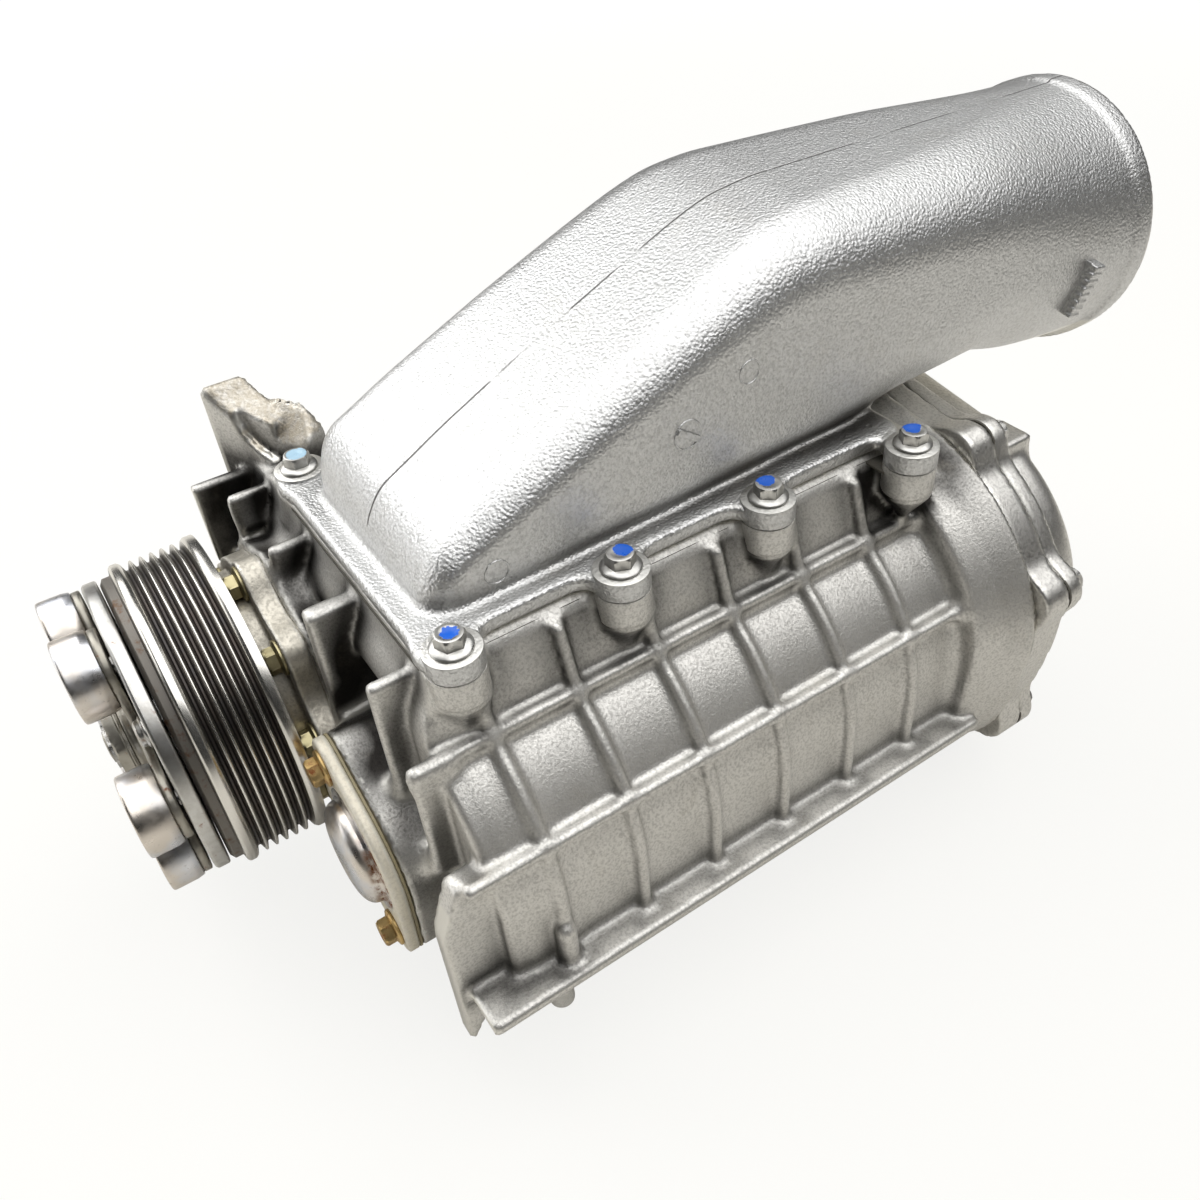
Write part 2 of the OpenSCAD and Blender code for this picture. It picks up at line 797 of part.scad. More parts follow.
// Cycloid lobe outline, a lobe starts at angle zero and a hollow follows it
lobe_steps = 12;
function lobe_point(k, t) =
    k % 2 == 0
    ? let (s = pitch_r + lobe_r, q = s / lobe_r * t, a = k * 180 / lobes)
        [s * cos(t) - lobe_r * cos(q), s * sin(t) - lobe_r * sin(q)] * [[cos(a), sin(a)], [-sin(a), cos(a)]]
    : let (s = pitch_r - lobe_r, q = s / lobe_r * t, a = k * 180 / lobes)
        [s * cos(t) + lobe_r * cos(q), s * sin(t) - lobe_r * sin(q)] * [[cos(a), sin(a)], [-sin(a), cos(a)]];
lobe_points = [for (k = [0:2 * lobes - 1]) for (i = [0:lobe_steps - 1])
    lobe_point(k, 180 / lobes * i / lobe_steps)];
rotor_l = chamber_l - 2 * rotor_gap;
module rotor(p, turn, twist) {
    difference() {
        translate([p[0], front_y + rotor_gap + rotor_l, p[1]])
            rotate([90, 0, 0])
                linear_extrude(rotor_l, twist = twist, slices = 20)
                    rotate(turn)
                        offset(delta = -rotor_gap)
                            polygon(lobe_points);
        bar_y(p, shaft_r + fit, front_y - 1, rear_y + 1);
    }
}

module drive_rotor() {
    color("#6d7176")
        rotor(drive, -90 / lobes - axis_tilt, rotor_twist);
}

module driven_rotor() {
    color("#6d7176")
        rotor(driven, 180 - 270 / lobes - axis_tilt, -rotor_twist);
}

thread_r = 8;
module drive_shaft() {
    color("#8d8f92") {
        bar_y(drive, shaft_r, pad_y, gear_y + gear_w);
        bar_y(drive, thread_r, gear_y, gear_y + gear_w + nut_t);
        bar_y(drive, nose_shaft_r, hub_end, pad_y + 1);
        bar_y(drive, thread_r, hub_end - hub_nut_t + 0.5, hub_end + 1);
    }
}

module driven_shaft() {
    color("#8d8f92") {
        bar_y(driven, shaft_r, driven_seat_y - bearing_w, gear_y + gear_w);
        bar_y(driven, thread_r, gear_y, gear_y + gear_w + nut_t);
    }
}

// Spur gear outline, involute flanks with a little play, a tooth at angle zero
flank_steps = 4;
tooth_play = 0.4;
base_circle = pitch_r * cos(20);
function roll(r) = sqrt(max(0, r * r / base_circle / base_circle - 1)) * 180 / PI;
function involute(r) = roll(r) - atan(roll(r) * PI / 180);
root_r = pitch_r - 1.3 * gear_module;
half_tooth = 90 / gear_teeth - tooth_play / 2 / pitch_r * 180 / PI;
function flank(i) = part_way(max(base_circle, root_r), gear_tip_r, i / flank_steps);
function flank_angle(r) = half_tooth + involute(pitch_r) - involute(r);
module gear_outline() {
    polygon([for (t = [0:gear_teeth - 1]) each
        let (c = t * 360 / gear_teeth,
            low = flank_angle(flank(0)))
        concat([[root_r * cos(c - low), root_r * sin(c - low)]],
            [for (i = [0:flank_steps])
                let (r = flank(i), a = c - flank_angle(r)) [r * cos(a), r * sin(a)]],
            [for (i = [flank_steps:-1:0])
                let (r = flank(i), a = c + flank_angle(r)) [r * cos(a), r * sin(a)]],
            [[root_r * cos(c + low), root_r * sin(c + low)]])]);
}

module timing_gear(p, turn) {
    difference() {
        along_y(gear_y, gear_y + gear_w)
            translate(p)
                rotate(turn)
                    gear_outline();
        bar_y(p, shaft_r + fit, gear_y - 1, gear_y + gear_w + 1);
    }
}

module drive_gear() {
    color("#74777b")
        timing_gear(drive, -axis_tilt);
}

module driven_gear() {
    color("#74777b")
        timing_gear(driven, 180 - axis_tilt + 180 / gear_teeth);
}

module shaft_nut(p, y, t, af) {
    difference() {
        translate([p[0], y, p[1]])
            rotate([-90, 0, 0])
                cylinder(d = af / cos(30), h = t, $fn = 6);
        bar_y(p, thread_r + fit, y - 1, y + t + 1);
    }
}

module drive_gear_nut() {
    color("#9a9a96")
        shaft_nut(drive, gear_y + gear_w, nut_t, gear_nut_af);
}

module driven_gear_nut() {
    color("#9a9a96")
        shaft_nut(driven, gear_y + gear_w, nut_t, gear_nut_af);
}

module drive_front_bearing() {
    color("#b0b2b4")
        ring_y(drive, bearing_r - fit, shaft_r + fit, drive_seat_y - bearing_w, drive_seat_y);
}

module driven_front_bearing() {
    color("#b0b2b4")
        ring_y(driven, bearing_r - fit, shaft_r + fit, driven_seat_y - bearing_w, driven_seat_y);
}

module drive_rear_bearing() {
    color("#b0b2b4")
        ring_y(drive, bearing_r - fit, shaft_r + fit, rear_bearing_y, rear_bearing_y + bearing_w);
}

module driven_rear_bearing() {
    color("#b0b2b4")
        ring_y(driven, bearing_r - fit, shaft_r + fit, rear_bearing_y, rear_bearing_y + bearing_w);
}

module rotor_seals() {
    color("#2c2c2c") {
        ring_y(drive, seal_r - fit, shaft_r + fit, drive_seat_y + 0.3, drive_seat_y + 0.3 + seal_w);
        ring_y(driven, seal_r - fit, shaft_r + fit, driven_seat_y + 0.3, driven_seat_y + 0.3 + seal_w);
        for (p = [drive, driven])
            ring_y(p, seal_r - fit, shaft_r + fit, rear_seal_y + 0.1, rear_seal_y + 0.1 + seal_w);
    }
}

module nose_seal() {
    color("#2c2c2c")
        ring_y(drive, tube_bore - fit, nose_shaft_r + fit, tube_end, tube_end + nose_seal_w);
}

module clutch_coil() {
    color("#3b3f45")
        ring_y(drive, coil_r, coil_bore, web_y + 1, coil_y);
}

connector_w = 9;
connector_t = 4;
module coil_connector() {
    color("#202020")
        translate([connector_at[0] - connector_w / 2, nose_y - connector_t, connector_at[1] - connector_w / 2])
            cube([connector_w, connector_t, connector_w]);
}

module pulley_bearing() {
    color("#b0b2b4")
        ring_y(drive, ball_r - fit, tube_r + fit, ball_y, ball_y + ball_w);
}

module bearing_circlip() {
    color("#77797c")
        ring_y(drive, tube_r + 2.5, tube_r - 1.2 + fit, ball_y - 1.2, ball_y);
}

// Groove outline: crests with narrow flats between v-shaped grooves
crest_flat = 0.5;
groove_root = 0.4;
module clutch_pulley() {
    root = crest_r - groove_depth;
    v = [for (i = [0:grooves - 1])
        let (c = groove_start - (i + 0.5) * groove_pitch, h = groove_pitch / 2)
        each [[crest_r, c + h - crest_flat / 2], [root, c + groove_root], [root, c - groove_root],
            [crest_r, c - h + crest_flat / 2]]];
    color("#5f5f60")
    translate([drive[0], 0, drive[1]])
        rotate([90, 0, 0])
            rotate_extrude()
                polygon([for (q = concat(
                    [[rim_bore, pulley_rear], [crest_r + rim_over, pulley_rear],
                        [crest_r + rim_over, groove_start + 0.6]],
                    v,
                    [[crest_r + rim_over, groove_end - 0.6], [crest_r + rim_over, groove_end - 3.4],
                        [crest_r - 2.4, groove_end - 4.2], [crest_r - 2.4, pulley_front],
                        [ball_r - 2, pulley_front], [ball_r - 2, ball_y - clear], [ball_r, ball_y - clear],
                        [ball_r, ball_y + ball_w], [ring_r, ball_y + ball_w], [ring_r, web_y],
                        [rim_bore, web_y]])) [q[0], -q[1]]]);
}

cup_places = [for (a = cup_angles) around(drive, cup_at, a)];
module armature_plate() {
    color("#c4c3bf")
    difference() {
        ring_y(drive, armature_r, armature_bore, armature_y - armature_t, armature_y);
        for (p = cup_places)
            bar_y(p, rivet_r + fit, armature_y - armature_t - 1, armature_y + 1);
    }
}

module armature_rivets() {
    color("#aaa9a4")
    for (p = cup_places)
        bar_y(p, rivet_r, cup_y - cup_l + 3, armature_y);
}

module clutch_hub() {
    color("#b4b2ac")
    difference() {
        union() {
            bar_y(drive, hub_r, hub_end, hub_y + 5);
            along_y(cup_y, hub_y) {
                translate(drive)
                    circle(hub_r + 9);
                for (p = cup_places) {
                    translate(p)
                        circle(cup_d / 2 - 1);
                    hull() {
                        translate(drive)
                            circle(11, $fn = hull_fn);
                        translate(p)
                            circle(9, $fn = hull_fn);
                    }
                }
            }
        }
        bar_y(drive, nose_shaft_r + fit, hub_end - 1, hub_y + 6);
        for (p = cup_places)
            bar_y(p, rivet_r + clear + fit, cup_y - 1, hub_y + 1);
    }
}

module damper_cups() {
    color("#cfcfcd")
    for (p = cup_places)
        ring_y(p, cup_d / 2, cup_d / 2 - cup_wall, cup_y - cup_l, cup_y);
}

module damper_rubbers() {
    color("#1d1d1d")
    for (p = cup_places)
        ring_y(p, cup_d / 2 - cup_wall - fit, rivet_r + clear, cup_y - cup_l + 2, cup_y);
}

module hub_nut() {
    color("#a8a49a")
        shaft_nut(drive, hub_end - hub_nut_t, hub_nut_t, hub_nut_af);
}

rotor_housing();
outlet_dowels();
inlet_duct();
duct_gasket();
duct_bolts();
front_nose();
nose_bolts();
front_bearing_cover();
bearing_dome();
front_cover_gasket();
front_cover_bolts();
rear_plate_gasket();
rear_bearing_plate();
plate_screws();
rear_cover_gasket();
rear_cover();
rear_cover_bolts();
oil_plug();
drive_rotor();
drive_shaft();
drive_gear();
drive_gear_nut();
driven_rotor();
driven_shaft();
driven_gear();
driven_gear_nut();
drive_front_bearing();
driven_front_bearing();
drive_rear_bearing();
driven_rear_bearing();
rotor_seals();
nose_seal();
clutch_coil();
coil_connector();
pulley_bearing();
bearing_circlip();
clutch_pulley();
armature_plate();
armature_rivets();
clutch_hub();
damper_cups();
damper_rubbers();
hub_nut();
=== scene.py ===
"""Looks of a twin-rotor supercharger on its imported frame.

Castings are implicit surfaces: a distance field is worked out on a grid with numpy and skinned, so that ribs,
bosses and flanges meet in real fillets. Turned pieces are profiles carried round an axis. All sizes in the
shape functions are millimetres in the part's own frame, and turn to metres when a mesh is made.
"""
import functools
import json
import math

import bpy
import numpy as np
from mathutils import Matrix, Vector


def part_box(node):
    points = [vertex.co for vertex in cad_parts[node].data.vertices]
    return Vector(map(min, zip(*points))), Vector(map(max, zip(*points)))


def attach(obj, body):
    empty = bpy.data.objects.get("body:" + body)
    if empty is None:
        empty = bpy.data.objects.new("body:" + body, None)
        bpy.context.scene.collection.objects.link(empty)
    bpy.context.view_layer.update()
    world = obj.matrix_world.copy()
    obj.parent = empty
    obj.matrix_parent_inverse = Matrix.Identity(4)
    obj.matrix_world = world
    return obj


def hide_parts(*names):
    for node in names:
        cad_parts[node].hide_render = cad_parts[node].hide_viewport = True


bl_info = {
    "name": "Supercharger looks",
    "version": (1, 0, 0),
    "blender": (4, 5, 0),
    "location": "3D View > Sidebar > Supercharger",
    "description": "Castings, clutch, bolts and stage of a twin-rotor supercharger",
    "category": "Object",
}

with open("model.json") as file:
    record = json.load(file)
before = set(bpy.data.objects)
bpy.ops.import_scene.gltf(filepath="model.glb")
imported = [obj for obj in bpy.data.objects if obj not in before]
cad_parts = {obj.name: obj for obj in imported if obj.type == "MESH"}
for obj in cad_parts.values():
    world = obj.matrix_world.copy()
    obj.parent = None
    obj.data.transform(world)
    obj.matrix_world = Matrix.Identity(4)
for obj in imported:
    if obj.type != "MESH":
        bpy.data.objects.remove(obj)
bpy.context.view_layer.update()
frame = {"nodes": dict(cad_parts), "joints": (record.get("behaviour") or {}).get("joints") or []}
JOINTS = {j["name"]: j for j in frame["joints"]}
MM = 0.001


def axis_of(joint):
    """X and Z of a spin joint's axis, in millimetres."""
    x, _, z = JOINTS[joint]["pos_m"]
    return np.array([x, z]) / MM


def box_mm(node):
    """Lowest and highest corner of a CAD node's box, in millimetres."""
    return [np.array(corner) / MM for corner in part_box(node)]


def span(node, axis):
    """Lowest and highest place of a CAD node along one axis, in millimetres."""
    low, high = box_mm(node)
    return low[axis], high[axis]


DRIVE = axis_of("drive_spin")
DRIVEN = axis_of("driven_spin")

# Stations along Y, from the front cover's face to the rear cover
FACE_Y, PAD_Y, FIN_Y, WALL_Y, BODY_Y, FRONT_Y = -101.0, -94.0, -92.0, -84.0, -77.5, -72.0
FLANGE_Y, REAR_Y, PLATE_END_Y = 103.0, 120.0, 130.8
PLATE_Y = span("rear_bearing_plate", 1)[0]
COVER_Y, COVER_END_Y = span("rear_cover", 1)
REAR_SEAT_Y = COVER_Y + 6.0
NOSE_Y = span("front_nose", 1)[1] - 8.0
# Heights
DECK_Z, DUCT_Z = span("duct_gasket", 2)
BOSS_Z = DUCT_Z + 9.0
EAR_T = 6.4
DECK_TOP = BOSS_Z - EAR_T - 0.3
BASE_Z = DRIVEN[1] - 26.0
# Housing: barrels, base ledges with their dowels, ribs, outlet block, side lug
BARREL_R, REAR_R, BORE_R = 55.35, 67.35, 50.35
BASE_T, BASE_HALF, BASE_Y0 = 4.8, 106.0, -97.5
WALL_X = DRIVEN[0] + BARREL_R
DOWELS = ((101.0, -73.0), (-101.0, 73.0))
FIRST_RIB_Y, CROSS_RIBS, RIB_ANGLES = -66.0, 7, (61.0, 25.5)
OUTLET_BOLTS = [(sx * 46, sy * 66) for sx in (-1, 1) for sy in (-1, 1)]
OUTLET_BLOCK, OUTLET_PORT = ((-56, -84, 0), (56, 84, 40)), ((-28, -48, -9), (28, 48, 57))
CHAMBER_HALF_X, CHAMBER_HALF_Y, CHAMBER_TOP = 50, 54, 62
NUB_AT, NUB_Z, NUB_R = (WALL_X + 3.5, -67.0), BASE_Z + 12.0, 3.2
LUG_AT, LUG_COS, LUG_SIN = (-91.0, -86.4), 0.866, 0.5
SCOOP_U, SCOOP_Z, SCOOP_R = 30.0, DECK_Z + 21.0, 18.0
# Nose, front cover and hub: radii round their axes
NOSE_PLATE_R, NOSE_EAR_R, NOSE_PAD_R = 44.5, 7.0, 46.0
COIL_STEP_R, NOSE_TUBE_R, NOSE_BORE_R = 40.2, 20.0, 13.0
COVER_R, COVER_EAR_R, DOME_R, DOME_HOLE_R = 27.0, 9.5, 17.6, 21.0
HUB_R, HUB_PLATE_R, HUB_ARM_R, HUB_CUP_R, RIVET_HOLE_R, SHAFT_HOLE_R = 15.0, 24.0, 11.0, 13.0, 3.35, 10.02
# Bolt circles and their angles from +X
NOSE_BOLT_R, NOSE_ANGLES, CONNECTOR_ANGLE = 44.0, (85, 45, 5, -45, -95, 205, 160), -70
EAR_ANGLES = (70, 21, -33, -62, 110, 159, 211, 242)
COVER_BOLT_R, COVER_ANGLE = 29.0, 120.0
CUP_CIRCLE_R, CUP_ANGLES = 39.0, (76, 124, 196, 244, 316, 364)
STUD_CIRCLE_R, STUD_ANGLES = 36.0, (40, 160, 280)
# Duct: middle of its flange's front, and its bolts
DUCT_X, DUCT_Y0 = 6.5, -70.0
DUCT_BOLT_HALVES = ((55.5, -70), (55.5, -16), (55.5, 38), (62, 92))
DUCT_BOLTS = [(DUCT_X + side * half, y) for side in (-1, 1) for half, y in DUCT_BOLT_HALVES]
BOSS_R, EAR_R = 8.1, 8.5
# How far a casting's grid passes its node's box, and the most that counts as enclosed before painted shade
# and soil are added
GRID_MARGIN, ENCLOSED_CAP = 9.0, 0.62
# How dull a milled face is
MILLED_ROUGHNESS = (0.34, 0.34, 0.34, 1)
# Smallest angle in degrees that stays a sharp edge
HEAD_CREASE, RIM_CREASE = 35, 40


def linear(code):
    """Linear RGBA of an sRGB hex code."""
    s = np.array([int(code[i:i + 2], 16) for i in (1, 3, 5)]) / 255
    rgb = np.where(s <= 0.04045, s / 12.92, ((s + 0.055) / 1.055) ** 2.4)
    return (*rgb.tolist(), 1.0)


def tint(code, name, description):
    """Colour property that starts at a hex code."""
    return bpy.props.FloatVectorProperty(name=name, description=description, subtype="COLOR", size=4,
                                         min=0, max=1, default=linear(code))


def length(value, name, description):
    """Length property in metres, given in millimetres."""
    return bpy.props.FloatProperty(name=name, description=description, default=value * MM, min=0, precision=5,
                                   subtype="DISTANCE", unit="LENGTH")


class SuperchargerSizes(bpy.types.PropertyGroup):
    """Sizes that shape the dressed pieces."""
    housing_step: length(1.68, "Housing mesh step", "Grid step of the housing casting")
    duct_step: length(1.45, "Duct mesh step", "Grid step of the duct casting")
    small_step: length(1.1, "Small casting step", "Grid step of covers, nose and hub")
    fillet: length(2.9, "Casting fillet", "Fillet where ribs and bosses leave a wall")
    rib_h: length(5.0, "Rib height", "Height of the ribs over the wall")
    rib_t: length(4.0, "Rib thickness", "Thickness of the ribs")
    rib_pitch: length(28.4, "Rib pitch", "Distance between cross ribs")
    housing_grain: length(0.9, "Housing grain", "Grain width of the blasted housing")
    duct_grain: length(0.95, "Duct grain", "Grain width of the coarse duct casting")


class SuperchargerColours(bpy.types.PropertyGroup):
    """Colours of the finishes."""
    casting: tint("#dad8d3", "Housing", "Sand-blasted aluminium in the open")
    # Painted shade colour for corners and pockets, also used for the grain's dark specks.
    casting_shade_and_speck: tint("#2f2d2b", "Housing pockets", "The same metal in corners and pockets")
    duct: tint("#d4d4d3", "Duct", "Coarse cast aluminium")
    # Painted shade colour for corners and pockets, also used for the grain's dark specks.
    duct_shade_and_speck: tint("#6e6c69", "Duct hollows", "The same metal in the grain's hollows")
    milled: tint("#dddbd4", "Milled faces", "Machined aluminium")
    steel: tint("#c9c8c4", "Zinc-plated steel", "Bolts, armature and hub")
    polished: tint("#d3d5da", "Polished steel", "Dome and damper cups")
    groove: tint("#4d4a49", "Belt grooves", "Rubber-blackened groove flanks")
    yellow: tint("#b3aa86", "Yellow zinc", "Passivated bolts of the nose and front cover")
    rust: tint("#8a4b1f", "Rust", "Rust on bolts and stains")
    paint: tint("#0f5fce", "Paint mark", "Blue check paint on the duct bolts")
    pale_paint: tint("#a9c9dc", "Faded paint mark", "Thin check paint on one bolt")
    rubber: tint("#1c1c1c", "Rubber", "Seals, gaskets and damper rubbers")
    floor_shade: tint("#dcd9d2", "Floor in reflections", "Paper floor as the metal mirrors it")
    floor: tint("#fdfdfb", "Floor", "Pale paper floor")


def sizes():
    """Size properties of the scene."""
    return bpy.context.scene.supercharger_sizes


def colours():
    """Colour properties of the scene."""
    return bpy.context.scene.supercharger_colours


def mm(name):
    """A size property in millimetres."""
    return getattr(sizes(), name) / MM


# Distance fields. A point is (x, y, z) as arrays that broadcast, negative is inside.


def fillet(a, b, k):
    """Union of two distances: the lower one, less k h (1 - h) where they differ by under k."""
    h = np.clip(0.5 + 0.5 * (b - a) / k, 0, 1)
    return b + (a - b) * h - k * h * (1 - h)


def trim(a, b, k):
    """Common part of two distances with an edge rounded over k: the fillet of their negatives."""
    return -fillet(-a, -b, k)


def cut(a, b, k):
    """First shape less the second, with an edge rounded over k."""
    return trim(a, -b, k)


def slab(v, low, high):
    """Distance to the layer between two planes."""
    return np.abs(v - (low + high) / 2) - (high - low) / 2


def block(p, low, high, r):
    """Rounded box: distance to a box that is r smaller all round, less r."""
    d = [np.abs(v - (a + b) / 2) - (b - a) / 2 + r for v, a, b in zip(p, low, high)]
    far = np.sqrt(sum(np.maximum(v, 0) ** 2 for v in d))
    near = np.minimum(np.maximum(np.maximum(d[0], d[1]), d[2]), 0)
    return far + near - r


def off(u, v, at):
    """Distance in a plane from a place."""
    return np.hypot(u - at[0], v - at[1])


def segment(u, v, a, b):
    """Distance in a plane to the straight line from a to b."""
    e = np.asarray(b) - np.asarray(a)
    t = np.clip(((u - a[0]) * e[0] + (v - a[1]) * e[1]) / (e @ e), 0, 1)
    return np.hypot(u - a[0] - t * e[0], v - a[1] - t * e[1])


def outline(u, v, corners, k):
    """Distance to a convex outline, corners clockwise: the highest distance of its edges, rounded over k."""
    sides = []
    for a, b in zip(corners, corners[1:] + corners[:1]):
        e = np.subtract(b, a) / math.dist(a, b)
        sides.append((v - a[1]) * e[0] - (u - a[0]) * e[1])
    return functools.reduce(lambda d, side: trim(d, side, k), sides)


def two_rounds(u, v, a, ra, b, rb):
    """Distance to the belt-shaped hull of two circles in a plane."""
    e = np.subtract(b, a)
    size = math.hypot(*e)
    e = e / size
    along = (u - a[0]) * e[0] + (v - a[1]) * e[1]
    across = np.abs((v - a[1]) * e[0] - (u - a[0]) * e[1])
    s = (ra - rb) / size
    c = math.sqrt(1 - s * s)
    k = c * along - s * across
    return np.where(k < 0, np.hypot(across, along) - ra,
                    np.where(k > c * size, np.hypot(across, along - size) - rb, c * across + s * along - ra))


def around(p, r, angle):
    """Place at an angle round an axis, in the X and Z plane."""
    a = math.radians(angle)
    return p[0] + r * math.cos(a), p[1] + r * math.sin(a)


def ring_places(axis, r, angles):
    """Places at several angles round an axis."""
    return [around(axis, r, a) for a in angles]


def rear_ears():
    """Places of the rear screws, round the driven axis on its side and round the drive axis on the other."""
    return [around(DRIVEN if a < 90 else DRIVE, REAR_R + 2, a) for a in EAR_ANGLES]


def lowest(fields):
    """Plain union of several distances."""
    return functools.reduce(np.minimum, fields)


# Skins of the fields


def slope(field, v, h=0.03):
    """Value and unit gradient of a field at points, by differences over h each way."""
    p = list(v.T)

    def moved(axis, by):
        return field([q + by * (axis == i) for i, q in enumerate(p)])
    g = np.stack([moved(axis, h) - moved(axis, -h) for axis in range(3)], 1)
    size = np.linalg.norm(g, axis=1) + 1e-9
    return field(p) / (size / (2 * h)), g / size[:, None]


def skin(field, low, high, step):
    """Surface net of a field: one point in each grid cell that the surface crosses, at the mean of the
    crossings of its edges, and one quad round each crossed grid edge. The points are then slid down the
    gradient onto the surface itself. Returns points, quads and unit normals."""
    axes = [np.arange(a - 2 * step, b + 3 * step, step) for a, b in zip(low, high)]
    grid = np.meshgrid(*axes, indexing="ij", sparse=True)
    f = np.array(np.broadcast_to(field(grid), [len(a) for a in axes]), dtype=np.float32)
    inside = f < 0
    corners = np.array([(i, j, k) for i in (0, 1) for j in (0, 1) for k in (0, 1)])
    n = np.array(f.shape) - 1
    count = sum(inside[i:i + n[0], j:j + n[1], k:k + n[2]].astype(np.uint8) for i, j, k in corners)
    cell = np.argwhere((count > 0) & (count < 8))
    value = np.stack([f[tuple((cell + c).T)] for c in corners], 1)
    total = np.zeros((len(cell), 3))
    hits = np.zeros(len(cell))
    for a in range(8):
        for b in range(a + 1, 8):
            if np.abs(corners[a] - corners[b]).sum() == 1:
                crossed = (value[:, a] < 0) != (value[:, b] < 0)
                t = np.where(crossed, value[:, a] / np.where(crossed, value[:, a] - value[:, b], 1), 0)
                total += crossed[:, None] * (corners[a] + t[:, None] * (corners[b] - corners[a]))
                hits += crossed
    v = np.array([a[0] for a in axes]) + step * (cell + total / hits[:, None])
    index = np.full(n, -1, np.int64)
    index[tuple(cell.T)] = np.arange(len(cell))
    quads = []
    for axis in range(3):
        du, dv = np.eye(3, dtype=int)[[(axis + 1) % 3, (axis + 2) % 3]]
        first = np.take(inside, range(n[axis]), axis)
        edge = np.argwhere(first != np.take(inside, range(1, n[axis] + 1), axis))
        loop = ((1, 1), (0, 1), (0, 0), (1, 0))
        q = np.stack([index[tuple((edge - s * du - t * dv).T)] for s, t in loop], 1)
        out = first[tuple(edge.T)]
        quads.append(np.where(out[:, None], q, q[:, ::-1]))
    for _ in range(3):
        d, g = slope(field, v)
        v = v - np.clip(d, -0.6 * step, 0.6 * step)[:, None] * g
    return v, np.concatenate(quads), slope(field, v)[1]


# The enclosed mark places painted shade in corners and pockets, and the exposed mark a painted highlight on
# edges.
def depth_marks(field, v, normal):
    """How enclosed and how exposed each point is. Enclosed: how far the field falls short of the distance
    walked out along the normal, over 4, 10 and 24 mm. Exposed: the same walked 1.6 mm inwards."""
    enclosed = np.zeros(len(v))
    for reach, share in ((4.0, 0.2), (10.0, 0.35), (24.0, 0.45)):
        enclosed += share * np.clip(1 - field(list((v + reach * normal).T)) / reach, 0, 1)
    exposed = np.clip(1 + field(list((v - 1.6 * normal).T)) / 1.6, 0, 1)
    return enclosed, exposed


# Profiles carried round an axis


def softened(points, r, poles):
    """Polyline whose corners are replaced by three points of a quadratic curve that starts r before them. A
    line that runs from pole to pole keeps its two ends."""
    p = np.asarray(points, float)
    before, after = np.roll(p, 1, 0), np.roll(p, -1, 0)
    la = np.linalg.norm(before - p, axis=1)
    lb = np.linalg.norm(after - p, axis=1)
    reach = np.minimum(r, 0.45 * np.minimum(la, lb))[:, None]
    a = p + (before - p) / la[:, None] * reach
    b = p + (after - p) / lb[:, None] * reach
    out = np.stack([a, 0.25 * a + 0.5 * p + 0.25 * b, b], 1)
    if poles:
        return np.concatenate([p[:1], out[1:-1].reshape(-1, 2), p[-1:]])
    return out.reshape(-1, 2)


def turned(profile, at=(0, 0), n=96, r=0.3, limit=None):
    """Profile of (radius, y) carried round the Y axis at an X and Z place: x = radius cos a, z = radius
    sin a. An outer side runs towards +Y. A profile that starts at radius 0 runs from pole to pole, any other
    is a ring. The limit may hold radii back by their angle, as the flats of a hexagon do."""
    p = np.asarray(profile, float)
    poles = p[0, 0] == 0
    p = softened(p, r, poles) if r else p
    a = np.linspace(0, 2 * np.pi, n, endpoint=False)
    rows = p[1:-1] if poles else p
    radius = np.repeat(rows[:, :1], n, 1)
    if limit:
        radius = limit(radius, a)
    v = np.stack([at[0] + radius * np.cos(a), np.repeat(rows[:, 1:], n, 1), at[1] + radius * np.sin(a)], 2)
    m = len(rows)
    i, j = np.meshgrid(np.arange(m - 1 if poles else m), np.arange(n), indexing="ij")
    i2, j2 = (i + 1) % m, (j + 1) % n
    v, q = v.reshape(-1, 3), np.stack([i * n + j, i2 * n + j, i2 * n + j2, i * n + j2], 2).reshape(-1, 4)
    if poles:
        k, none = np.arange(n), np.full(n, -1)
        k2 = (k + 1) % n
        first = np.stack([none * 0 + m * n, k, k2, none], 1)
        last = np.stack([(m - 1) * n + k, none * 0 + m * n + 1, (m - 1) * n + k2, none], 1)
        v = np.vstack([v, [(at[0], p[0, 1], at[1]), (at[0], p[-1, 1], at[1])]])
        q = np.vstack([q, first, last])
    return v, q


def hexagon(a, flats):
    """Radius of a hexagon's side at an angle."""
    return flats / 2 / np.cos((a + np.pi / 6) % (np.pi / 3) - np.pi / 6)


def hex_head(flats, top, foot, wide, thick):
    """Profile from the pole of a hexagon head to the rim of the washer under it: dished top, chamfer, side,
    cone and washer. The levels that the hexagon's flats hold back come first."""
    c = flats * 0.577
    head = [(0, top + 0.35), (flats * 0.22, top + 0.3), (flats * 0.31, top + 0.03), (flats * 0.44, top),
            (flats * 0.5, top + 0.12), (c, top + 0.75), (c, foot - thick - 0.1)]
    skirt = [(c + 0.1, foot - thick + 0.05), (wide - 0.3, foot - thick + 0.45), (wide, foot - thick + 0.8),
             (wide, foot - 0.25), (wide - 0.25, foot)]
    return head, skirt


def hexed(profile, levels, flats, n):
    """Profile carried round the Y axis, its first levels held back by a hexagon's flats."""
    flat = (np.arange(len(profile) - 2) < levels)[:, None]
    return turned(profile, (0, 0), n, 0, lambda r, a: np.where(flat, np.minimum(r, hexagon(a, flats)), r))


def bolt(reach, flats=8.0, wide=6.24, shank=3.0):
    """Hexagon flange bolt along Y, its seat at y 0, its head towards -Y and its threaded shank towards +Y."""
    head, skirt = hex_head(flats, -5.32, 0.0, wide, 1.6)
    profile = head + skirt + [(shank, 0.05), (shank, reach - 0.7), (shank - 0.6, reach), (0, reach)]
    return hexed(profile, len(head) - 1, flats, 48)


def placed(shape, matrices):
    """Copies of a mesh, each moved by a 4 by 4 matrix, as one mesh."""
    v, q = shape
    out = [np.c_[v, np.ones(len(v))] @ np.asarray(m).T[:, :3] for m in matrices]
    return joined(*[(moved, q) for moved in out])


